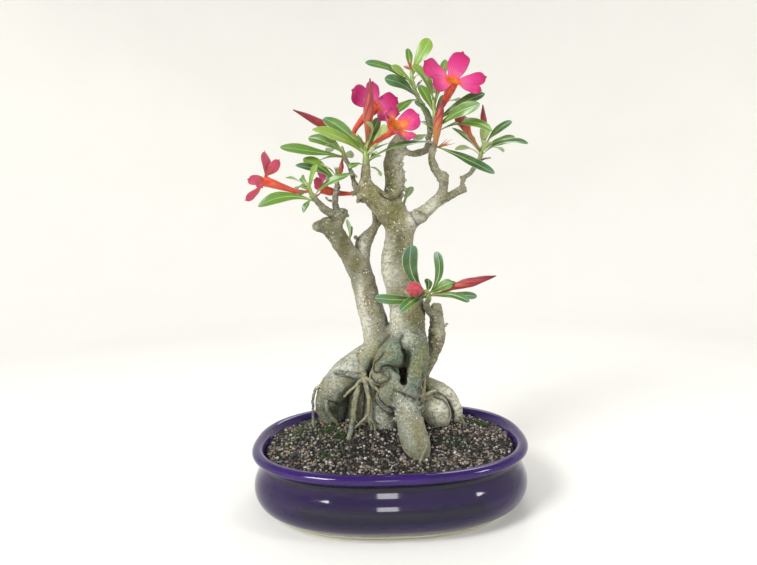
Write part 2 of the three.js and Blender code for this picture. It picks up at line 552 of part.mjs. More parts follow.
// Petals round a hollow throat. The throat is the last span of the tube.
function makePetals(bloom, grow) {
  const axis = point(bloom.facing).normalize();
  const right = new THREE.Vector3(0, 0, 1).cross(axis).normalize();
  const up = axis.clone().cross(right);
  const mouth = point(bloom.mouth);
  const rimAxis = mouth.clone().sub(point(bloom.tube[bloom.tube.length - 1])).normalize();
  const rimRight = new THREE.Vector3(0, 0, 1).cross(rimAxis).normalize();
  const rimUp = rimAxis.clone().cross(rimRight);
  const throat = limb(tubePoints(bloom).slice(-2), throatSides, grow);
  const petals = bloom.petals.map(([turn, length, width, flare]) => {
    const angle = THREE.MathUtils.degToRad(turn);
    const lean = THREE.MathUtils.degToRad(flare);
    const outward = right.clone().multiplyScalar(Math.cos(angle)).addScaledVector(up, Math.sin(angle));
    const base = mouth.clone().addScaledVector(rimAxis, -petalSink)
      .addScaledVector(rimRight, Math.cos(angle) * (bloom.mouthRadius - petalSink))
      .addScaledVector(rimUp, Math.sin(angle) * (bloom.mouthRadius - petalSink));
    const tip = base.clone().addScaledVector(outward, Math.sin(lean) * length)
      .addScaledVector(axis, Math.cos(lean) * length);
    return blade({
      base: base.toArray(),
      tip: tip.toArray(),
      width,
      arch: petalArch,
      roll: 0,
      axis,
      inset: 0,
      outline: petalOutline,
      thickness: petalThickness,
    }, grow);
  });
  return joined([throat, ...petals]);
}

function hollowThroat(bloom) {
  const [low, high] = tubePoints(bloom).slice(-2);
  const from = point(low);
  const to = point(high);
  const start = from.clone().lerp(to, hollowStart);
  const end = from.clone().lerp(to, hollowEnd);
  return limb([
    [...start.toArray(), (low[3] + high[3]) / 2 - tubeWall - hollowTaper],
    [...to.toArray(), high[3] - tubeWall],
    [...end.toArray(), high[3] + hollowFlare],
  ], throatSides, 0);
}

function makeTube(bloom, grow) {
  return limb(bloom.tube, tubeSides, grow);
}

function makeBud(points, grow) {
  return limb(points, budSides, grow);
}

const model = new THREE.Group();

function addNode(name, solid, colour, roughness) {
  const mesh = solid.getMesh();
  const geometry = new THREE.BufferGeometry();
  geometry.setAttribute("position", new THREE.BufferAttribute(new Float32Array(mesh.vertProperties), 3));
  geometry.setIndex(new THREE.BufferAttribute(new Uint32Array(mesh.triVerts), 1));
  geometry.computeVertexNormals();
  const material = new THREE.MeshStandardMaterial({ color: colour, roughness, metalness: 0 });
  const node = new THREE.Mesh(geometry, material);
  node.name = name;
  model.add(node);
}

const grownWood = makeWood(seatGap);
addNode("pot", makePot(), glazeColour, 0.12);
addNode("soil", makeSoil(grownWood), soilColour, 0.95);
addNode("wood", makeWood(0), barkColour, 0.8);

// Each living piece is let in round what was placed before it
const placed = [grownWood];

function addLiving(name, make, colour, roughness) {
  const clear = mainBody(placed.reduce((rest, other) => rest.subtract(other), make(0)));
  addNode(name, clear, colour, roughness);
  placed.push(make(seatGap));
}

Object.entries(shoots).forEach(([name, shoot]) => {
  addLiving(name, (grow) => makeShoot(shoot, grow), leafColour, 0.45);
});
Object.entries(blooms).forEach(([name, bloom]) => {
  addLiving(`${name}_tube`, (grow) => makeTube(bloom, grow), tubeColour, 0.5);
  const hollow = hollowThroat(bloom);
  addLiving(`${name}_petals`, (grow) => makePetals(bloom, grow).subtract(hollow), petalColour, 0.5);
});
Object.entries(buds).forEach(([name, points]) => {
  addLiving(name, (grow) => makeBud(points, grow), budColour, 0.5);
});

export default model;
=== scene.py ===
import math

import bpy
import numpy as np
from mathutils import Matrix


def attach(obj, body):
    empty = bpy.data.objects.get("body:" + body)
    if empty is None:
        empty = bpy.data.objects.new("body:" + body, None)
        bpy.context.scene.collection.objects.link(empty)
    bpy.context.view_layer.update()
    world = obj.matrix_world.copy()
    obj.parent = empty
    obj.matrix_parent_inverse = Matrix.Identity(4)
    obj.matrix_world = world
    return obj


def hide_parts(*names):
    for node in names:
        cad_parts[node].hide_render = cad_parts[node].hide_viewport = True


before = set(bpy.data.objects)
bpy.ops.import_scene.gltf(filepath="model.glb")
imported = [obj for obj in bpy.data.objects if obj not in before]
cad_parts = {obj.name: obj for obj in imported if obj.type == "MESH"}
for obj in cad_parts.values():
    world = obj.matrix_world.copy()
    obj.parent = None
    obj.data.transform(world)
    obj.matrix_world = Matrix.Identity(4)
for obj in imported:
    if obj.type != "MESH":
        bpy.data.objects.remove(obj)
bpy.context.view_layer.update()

import openvdb
from mathutils import Matrix, Vector, noise
from mathutils.geometry import delaunay_2d_cdt

mm = 0.001  # the rows of numbers are in millimetres, the scene in metres
noise.seed_set(4)  # noise vectors would follow the clock without it
scene = bpy.context.scene
scene.view_settings.view_transform = "Standard"

# camera

view = {
    "place": (-6.8, -542.0, 262.0),
    "focal": 520.0 / 757.0,  # in picture widths
    "pitch": 0.0648,  # downward, radians
    "roll": -0.0285,
    "sensor": 36.0,
}


def makeCamera():
    data = bpy.data.cameras.new("photoView")
    data.sensor_fit = "HORIZONTAL"
    data.sensor_width = view["sensor"]
    data.lens = view["sensor"] * view["focal"]
    data.clip_start = 0.01
    camera = bpy.data.objects.new("photoView", data)
    scene.collection.objects.link(camera)
    level = Vector((1, 0, 0))
    lift = Vector((0, math.sin(view["pitch"]), math.cos(view["pitch"])))
    ahead = Vector((0, math.cos(view["pitch"]), -math.sin(view["pitch"])))
    right = level * math.cos(view["roll"]) + lift * math.sin(view["roll"])
    upward = lift * math.cos(view["roll"]) - level * math.sin(view["roll"])
    turn = Matrix((right, upward, -ahead)).transposed().to_4x4()
    camera.matrix_world = Matrix.Translation(Vector(view["place"]) * mm) @ turn
    scene.camera = camera


makeCamera()
print("camera set")

# mesh helpers, all in millimetres


def unit(vector):
    return vector / np.linalg.norm(vector)


def smoothStep(values, low, high):
    t = np.clip((values - low) / (high - low), 0, 1)
    return t * t * (3 - 2 * t)


def through(marks, rows, at):  # smooth curve through the rows, which stand at the marks
    marks = np.asarray(marks, float)
    rows = np.asarray(rows, float)
    gaps = np.diff(marks)
    slopes = np.empty_like(rows)
    slopes[1:-1] = ((rows[2:] - rows[:-2]).T / (marks[2:] - marks[:-2])).T
    slopes[0] = (rows[1] - rows[0]) / gaps[0]
    slopes[-1] = (rows[-1] - rows[-2]) / gaps[-1]
    span = np.clip(np.searchsorted(marks, at, side="right") - 1, 0, len(gaps) - 1)
    step = gaps[span]
    t = (at - marks[span]) / step
    shape = (-1,) + (1,) * (rows.ndim - 1)
    t, step = t.reshape(shape), step.reshape(shape)
    near = (2 * t**3 - 3 * t**2 + 1) * rows[span] + (t**3 - 2 * t**2 + t) * step * slopes[span]
    far = (3 * t**2 - 2 * t**3) * rows[span + 1] + (t**3 - t**2) * step * slopes[span + 1]
    return near + far


def smoothPath(rows, step=None, count=None):  # x, y, z, radius rows
    rows = np.asarray(rows, float)
    marks = np.concatenate(([0], np.cumsum(np.linalg.norm(np.diff(rows[:, :3], axis=0), axis=1))))
    if count is None:
        count = max(3, int(math.ceil(marks[-1] / step)) + 1)
    path = through(marks, rows, np.linspace(0, marks[-1], count))
    path[:, 3] = np.maximum(path[:, 3], 0.05)
    return path


def ringFaces(rings, sides):
    faces = []
    for ring in range(rings - 1):
        low = ring * sides
        high = low + sides
        for side in range(sides):
            after = (side + 1) % sides
            faces.append((low + side, low + after, high + after, high + side))
    return faces


def fanFaces(rings, sides, firstTip, lastTip):  # closes the two ends of a tube
    faces = [(firstTip, (side + 1) % sides, side) for side in range(sides)]
    top = (rings - 1) * sides
    return faces + [(lastTip, top + side, top + (side + 1) % sides) for side in range(sides)]


def tubeFrames(centres):
    along = np.gradient(centres, axis=0)
    along /= np.linalg.norm(along, axis=1)[:, None]
    across = np.zeros_like(along)
    last = np.array((1.0, 0, 0)) if abs(along[0][2]) > 0.9 else np.array((0, 0, 1.0))
    for index, way in enumerate(along):
        last = unit(last - way * np.dot(last, way))
        across[index] = last
    return along, across, np.cross(along, across)


def sweepTube(path, sides, relief=None, dome=0.4):  # relief(share, angle) scales the radius
    along, across, up = tubeFrames(path[:, :3])
    angle = np.linspace(0, 2 * math.pi, sides, endpoint=False)[None, :]
    share = np.linspace(0, 1, len(path))[:, None]
    reach = path[:, 3:4] * (1 if relief is None else relief(share, angle)) * np.ones_like(angle)
    spokes = across[:, None] * np.cos(angle)[..., None] + up[:, None] * np.sin(angle)[..., None]
    rings = (path[:, None, :3] + spokes * reach[..., None]).reshape(-1, 3)
    ends = [path[0, :3] - along[0] * dome * path[0, 3], path[-1, :3] + along[-1] * dome * path[-1, 3]]
    faces = ringFaces(len(path), sides)
    faces += fanFaces(len(path), sides, len(rings), len(rings) + 1)
    shares = np.concatenate((np.repeat(share[:, 0], sides), (0, 1)))
    angles = np.concatenate((np.tile(angle[0], len(path)), (0, 0)))
    return np.vstack((rings, ends)), faces, shares, angles


class Shape:  # gathers the points, faces and point values of one piece
    def __init__(self, *names):
        self.points, self.faces, self.total = [], [], 0
        self.values = {name: [] for name in names}

    def add(self, points, faces, **values):
        self.faces += [tuple(index + self.total for index in face) for face in faces]
        self.points.append(np.asarray(points, float))
        self.total += len(points)
        for name, rows in self.values.items():
            rows.append(np.broadcast_to(np.asarray(values.get(name, 0.0), float), (len(points),)))


def makePiece(name, shape, material, nodes=(), smooth=True):
    mesh = bpy.data.meshes.new(name)
    mesh.from_pydata((np.vstack(shape.points) * mm).tolist(), [], shape.faces)
    for key, rows in shape.values.items():
        layer = mesh.attributes.new(key, "FLOAT", "POINT")
        layer.data.foreach_set("value", np.concatenate(rows).astype(np.float32))
    mesh.polygons.foreach_set("use_smooth", [smooth] * len(mesh.polygons))
    mesh.materials.append(material)
    mesh.update()
    piece = bpy.data.objects.new(name, mesh)
    scene.collection.objects.link(piece)
    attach(piece, "root")
    if nodes:
        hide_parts(*nodes)


# material helpers


def tint(red, green, blue):  # screen colour, 0 to 255, to scene colour
    def straight(value):
        value /= 255.0
        return value / 12.92 if value <= 0.04045 else ((value + 0.055) / 1.055) ** 2.4
    return (straight(red), straight(green), straight(blue), 1.0)


def join(tree, value, socket):
    if isinstance(value, bpy.types.NodeSocket):
        tree.links.new(value, socket)
    else:
        socket.default_value = value


def put(tree, kind, sockets=None, **settings):
    node = tree.nodes.new("ShaderNode" + kind)
    for name, value in settings.items():
        setattr(node, name, value)
    for key, value in (sockets or {}).items():
        join(tree, value, node.inputs[key])
    return node


def mixed(tree, factor, first, second):
    return put(tree, "Mix", {0: factor, 6: first, 7: second}, data_type="RGBA").outputs[2]


def twoTone(tree, mask, colours):  # from the first screen colour to the second
    first, second = colours
    return mixed(tree, mask, tint(*first), tint(*second))


def calc(tree, operation, first, second=0.0, clamp=False):
    return put(tree, "Math", {0: first, 1: second}, operation=operation, use_clamp=clamp).outputs[0]


def times(tree, first, second, clamp=False):
    return calc(tree, "MULTIPLY", first, second, clamp)


def plus(tree, first, second):
    return calc(tree, "ADD", first, second)


def over(tree, colour, mask, share, paint):  # a share of the paint over the colour, inside the mask
    return mixed(tree, times(tree, mask, share), colour, paint)


def eased(tree, value, low, high, start=0.0, end=1.0):
    sockets = {"Value": value, "From Min": low, "From Max": high, "To Min": start, "To Max": end}
    return put(tree, "MapRange", sockets, interpolation_type="SMOOTHSTEP").outputs["Result"]


def between(tree, mask, start, end):  # a value that follows a mask of 0 to 1
    return eased(tree, mask, 0.0, 1.0, start, end)


def ramp(tree, factor, stops):  # stops are position, red, green, blue
    node = put(tree, "ValToRGB", {"Fac": factor})
    elements = node.color_ramp.elements
    while len(elements) < len(stops):
        elements.new(0.5)
    for element, (position, *screen) in zip(elements, stops):
        element.position = position
        element.color = tint(*screen)
    return node.outputs["Color"]


def noiseField(tree, place, scale, detail, rough=0.5):
    sockets = {"Vector": place, "Scale": scale, "Detail": detail, "Roughness": rough}
    return put(tree, "TexNoise", sockets).outputs["Fac"]


def pointValue(tree, name):
    return put(tree, "Attribute", attribute_name=name).outputs["Fac"]


def placeInMm(tree):
    coords = put(tree, "TexCoord").outputs["Object"]
    return put(tree, "VectorMath", {0: coords, "Scale": 1000.0}, operation="SCALE").outputs[0]


def newMaterial(name, **sockets):  # also gives the place on the surface
    material = bpy.data.materials.new(name)
    material.use_nodes = True
    tree = material.node_tree
    tree.nodes.clear()
    shader = put(tree, "BsdfPrincipled", {key.replace("_", " "): value for key, value in sockets.items()})
    output = put(tree, "OutputMaterial")
    tree.links.new(shader.outputs["BSDF"], output.inputs["Surface"])
    return material, tree, shader, placeInMm(tree)


def newGroup(name, result, **sockets):  # a socket without a number is a vector
    tree = bpy.data.node_groups.new(name, "ShaderNodeTree")
    for label, value in sockets.items():
        kind = "NodeSocketVector" if value is None else "NodeSocketFloat"
        socket = tree.interface.new_socket(label, in_out="INPUT", socket_type=kind)
        if value is not None:
            socket.default_value = value
    tree.interface.new_socket(result, in_out="OUTPUT", socket_type="NodeSocketFloat")
    entry, leave = tree.nodes.new("NodeGroupInput"), tree.nodes.new("NodeGroupOutput")
    return tree, entry.outputs, leave.inputs


def useGroup(tree, group, output, **sockets):
    node = put(tree, "Group", node_tree=group)
    for key, value in sockets.items():
        join(tree, value, node.inputs[key])
    return node.outputs[output]


def makeMottle():  # soft patches
    tree, entry, leave = newGroup("patches", "Mask", Place=None, Size=10.0, Low=0.45, High=0.6)
    field = noiseField(tree, entry["Place"], calc(tree, "DIVIDE", 1.0, entry["Size"]), 4.0, 0.55)
    join(tree, eased(tree, field, entry["Low"], entry["High"]), leave["Mask"])
    return tree


def makeFlecks():  # small round specks, some cells bare
    tree, entry, leave = newGroup("flecks", "Mask", Place=None, Size=2.0, Cover=0.5, Radius=0.3)
    scale = calc(tree, "DIVIDE", 1.0, entry["Size"])
    cells = put(tree, "TexVoronoi", {"Vector": entry["Place"], "Scale": scale, "Randomness": 1.0})
    split = put(tree, "SeparateColor", {0: cells.outputs["Color"]})
    radius = times(tree, entry["Radius"], plus(tree, split.outputs[1], 0.4))
    inside = eased(tree, calc(tree, "DIVIDE", cells.outputs["Distance"], radius), 1.15, 0.7)
    shown = calc(tree, "LESS_THAN", split.outputs[0], entry["Cover"])
    join(tree, times(tree, inside, shown), leave["Mask"])
    return tree


def makeGrain():  # fine relief of two sizes
    tree, entry, leave = newGroup("fineGrain", "Height", Place=None, Fine=1.0, Coarse=5.0, Share=0.5)
    fine = noiseField(tree, entry["Place"], calc(tree, "DIVIDE", 1.0, entry["Fine"]), 3.0)
    coarse = noiseField(tree, entry["Place"], calc(tree, "DIVIDE", 1.0, entry["Coarse"]), 2.0)
    rest = calc(tree, "SUBTRACT", 1.0, entry["Share"])
    total = plus(tree, times(tree, fine, entry["Share"]), times(tree, coarse, rest))
    join(tree, total, leave["Height"])
    return tree


def makeVeins():  # slanting side veins of a blade, or lengthwise lines where Slant is 0
    tree, entry, leave = newGroup(
        "veins", "Mask", Along=0.0, Across=0.0, Count=12.0, Slant=3.0, Lines=0.0)
    slant = times(tree, calc(tree, "ABSOLUTE", entry["Across"]), entry["Slant"])
    slanted = calc(tree, "SUBTRACT", times(tree, entry["Along"], entry["Count"]), slant)
    spread = times(tree, entry["Across"], entry["Lines"])
    wave = calc(tree, "SINE", times(tree, plus(tree, slanted, spread), 2 * math.pi))
    join(tree, eased(tree, wave, 0.55, 1.0), leave["Mask"])
    return tree


mottle, flecks, fineGrain, veins = makeMottle(), makeFlecks(), makeGrain(), makeVeins()


def patchMask(tree, place, size, low, high):
    return useGroup(tree, mottle, "Mask", Place=place, Size=size, Low=low, High=high)


def fleckMask(tree, place, size, cover, radius):
    return useGroup(tree, flecks, "Mask", Place=place, Size=size, Cover=cover, Radius=radius)


def grainHeight(tree, place, fine, coarse, share):
    return useGroup(tree, fineGrain, "Height", Place=place, Fine=fine, Coarse=coarse, Share=share)


def veinMask(tree, along, across, count, slant, lines):
    return useGroup(tree, veins, "Mask", Along=along, Across=across, Count=count, Slant=slant, Lines=lines)


def dress(tree, shader, colour, rough, relief, strength, depth):  # depth in mm
    node = put(tree, "Bump", {"Height": relief, "Strength": strength, "Distance": depth * mm})
    join(tree, colour, shader.inputs["Base Color"])
    join(tree, rough, shader.inputs["Roughness"])
    join(tree, node.outputs["Normal"], shader.inputs["Normal"])


print("helpers and shared node groups ready")

# pot

pot = {
    "halfLength": 142.0,
    "halfWidth": 109.0,
    "height": 66.0,
    "oval": 2.4,
    "sides": 208,
    "outside": [  # height, step out from the rim's half axes
        (0.0, -24), (0.0, -20.4), (1.2, -19.2), (4, -17), (8, -11.4), (13, -5.9), (18, -2.9), (23, -1.4),
        (28, -1.2), (33, -2.2), (38, -4.4), (43, -7.3), (46.5, -9), (49.6, -10.2), (52.4, -9.8), (54.6, -7.6),
        (56.4, -4.2), (58.4, -1.5), (60.8, -0.2), (63.2, -0.5), (65, -2), (65.9, -4.2), (66, -6.6)],
    "inside": [
        (65.2, -9), (63.6, -10.6), (61, -12), (54, -15.6), (47, -18.5), (37, -14.6), (28, -11.5), (20, -14),
        (13, -18), (9.4, -23), (8, -27)],
    "footRing": 4.0,
    "drainSpacing": 96.0,
    "drainRadius": 6.0,
    "drainSides": 28,
    "floorLow": 1.6,
    "floorHigh": 8.0,
    "floorInsets": (-27, -30),
    "outsideRows": 64,
    "insideRows": 26,
    "traceSteps": 20001,  # for an even spacing round the oval
    # screen colours, in pairs where a soft mask leads from one to the other
    "belly": [(21, 10, 44), (30, 13, 60)],
    # painted sheen: purple toward the pot's two ends
    "ends": (36, 12, 70),
    "lip": [(32, 10, 70), (46, 16, 92)],
    "groove": (16, 12, 32),
    "clay": [(184, 182, 160), (218, 216, 196)],
}


def ovalPoint(angle, inset, share=1.0):
    cosine, sine = np.cos(angle), np.sin(angle)
    power = 2 / pot["oval"]
    x = np.sign(cosine) * np.abs(cosine) ** power * (pot["halfLength"] + inset) * share
    y = np.sign(sine) * np.abs(sine) ** power * (pot["halfWidth"] + inset) * share
    return x, y


def ovalShare(x, y, inset):  # 0 in the middle, 1 at the pot's inside
    across = (np.abs(x) / (pot["halfLength"] + inset)) ** pot["oval"]
    return (across + (np.abs(y) / (pot["halfWidth"] + inset)) ** pot["oval"]) ** (1 / pot["oval"])


def evenAngles(sides):  # angles that space the oval's points evenly
    fine = np.linspace(0, 2 * math.pi, pot["traceSteps"])
    x, y = ovalPoint(fine, 0)
    run = np.concatenate(([0], np.cumsum(np.hypot(np.diff(x), np.diff(y)))))
    return np.interp(np.linspace(0, run[-1], sides, endpoint=False), run, fine)


def smoothProfile(rows, count):
    rows = np.asarray(rows, float)
    marks = np.concatenate(([0], np.cumsum(np.hypot(*np.diff(rows, axis=0).T))))
    return through(marks, rows, np.linspace(0, marks[-1], count))


def ovalLoft(levels, angles):
    rings = []
    for level, inset in levels:
        x, y = ovalPoint(angles, inset)
        rings.append(np.column_stack((x, y, np.full(len(angles), level))))
    return np.vstack(rings)


def makeGlaze():
    material, tree, shader, place = newMaterial(
        "violetGlaze", Specular_IOR_Level=0.3, Coat_Roughness=0.03, Coat_IOR=1.4)
    split = put(tree, "SeparateXYZ", {0: place}).outputs
    height = split["Z"]
    pooled = patchMask(tree, place, 46.0, 0.15, 0.85)
    body = twoTone(tree, pooled, pot["belly"])
    # painted sheen: the body turns purple toward the two ends
    ends = eased(tree, calc(tree, "ABSOLUTE", split["X"]), 55.0, 135.0)
    body = over(tree, body, ends, 0.5, tint(*pot["ends"]))
    # painted reflection: a dark band round the belly between heights 22 and 37 mm, fading toward the ends
    band = times(tree, eased(tree, height, 22.0, 25.0), eased(tree, height, 37.0, 34.0))
    band = times(tree, band, eased(tree, ends, 0.1, 0.5, 0.9, 0.0))
    body = mixed(tree, band, body, tint(14, 12, 32))
    lip = twoTone(tree, pooled, pot["lip"])
    colour = mixed(tree, eased(tree, height, 53.5, 61.0), body, lip)
    neck = times(tree, eased(tree, height, 46.0, 51.0), eased(tree, height, 57.0, 52.5))
    colour = mixed(tree, neck, colour, tint(*pot["groove"]))
    specks = fleckMask(tree, place, 5.5, 0.22, 0.07)
    colour = over(tree, colour, specks, 0.5, tint(16, 10, 30))
    ragged = patchMask(tree, place, 6.0, 0.3, 0.7)
    bare = calc(tree, "LESS_THAN", height, plus(tree, pot["footRing"] - 0.5, ragged))
    grit = grainHeight(tree, place, 0.5, 2.2, 0.6)
    clay = twoTone(tree, grit, pot["clay"])
    colour = mixed(tree, bare, colour, clay)
    join(tree, between(tree, bare, 0.3, 0.0), shader.inputs["Coat Weight"])
    relief = plus(tree, grainHeight(tree, place, 9.0, 30.0, 0.3), times(tree, times(tree, bare, grit), 0.1))
    dress(tree, shader, colour, between(tree, bare, 0.07, 0.8), relief, 0.09, 1.0)
    return material


def makePot():
    angles, sides = evenAngles(pot["sides"]), pot["sides"]
    outside = smoothProfile(pot["outside"][2:], pot["outsideRows"])
    levels = np.vstack((pot["outside"][:2], outside, smoothProfile(pot["inside"], pot["insideRows"])))
    levels[:, 0] = np.clip(levels[:, 0], 0, pot["height"])
    under = [(pot["floorLow"], inset) for inset in pot["floorInsets"]]
    faces = ringFaces(len(levels), sides)
    # two rings of the underside run inward from the foot
    foot = len(levels) * sides
    for low, high in ((foot, 0), (foot + sides, foot)):
        for side in range(sides):
            after = (side + 1) % sides
            faces.append((low + side, low + after, high + after, high + side))
    shape = Shape()
    shape.add(np.vstack((ovalLoft(levels, angles), ovalLoft(under, angles))), faces)
    addFloor(shape, angles, foot + sides, foot - sides)
    makePiece("glazedPot", shape, makeGlaze(), ["pot"])


def addFloor(shape, angles, lowRing, highRing):  # closes the floor, with two round drain holes
    sides, holeSides, radius = pot["sides"], pot["drainSides"], pot["drainRadius"]
    centres = (pot["drainSpacing"] / 2, -pot["drainSpacing"] / 2)
    turn = np.linspace(0, 2 * math.pi, holeSides, endpoint=False)
    rimX, rimY = ovalPoint(angles, pot["floorInsets"][1])
    plan = list(zip(rimX, rimY))
    edges = [(side, (side + 1) % sides) for side in range(sides)]
    for centre in centres:
        start = len(plan)
        plan += [(centre + radius * math.cos(a), radius * math.sin(a)) for a in turn]
        edges += [(start + side, start + (side + 1) % holeSides) for side in range(holeSides)]
    flat, _, triangles, _, _, _ = delaunay_2d_cdt([Vector(spot) for spot in plan], edges, [], 0, 1e-6)
    kept = []
    for face in triangles:
        middle = sum((flat[index] for index in face), Vector((0, 0))) / len(face)
        if all((middle - Vector((centre, 0))).length > radius * 0.97 for centre in centres):
            kept.append(tuple(face))
    low, high = [[(p.x, p.y, pot[level]) for p in flat] for level in ("floorLow", "floorHigh")]
    start = shape.total
    faces = [tuple(reversed(face)) for face in kept]
    faces += [tuple(index + len(low) for index in face) for face in kept]
    for hole in range(len(centres)):
        first = sides + hole * holeSides
        for side in range(holeSides):
            a, b = first + side, first + (side + 1) % holeSides
            faces.append((b, a, a + len(low), b + len(low)))
    shape.add(low + high, faces)
    # the rim of the plan joins the loft's two open rings
    top = start + len(low)
    for side in range(sides):
        after = (side + 1) % sides
        shape.faces.append((start + after, start + side, lowRing + side, lowRing + after))
        shape.faces.append((highRing + side, highRing + after, top + after, top + side))


makePot()
print("pot made")

# wood, as a distance field of its limbs that is then meshed

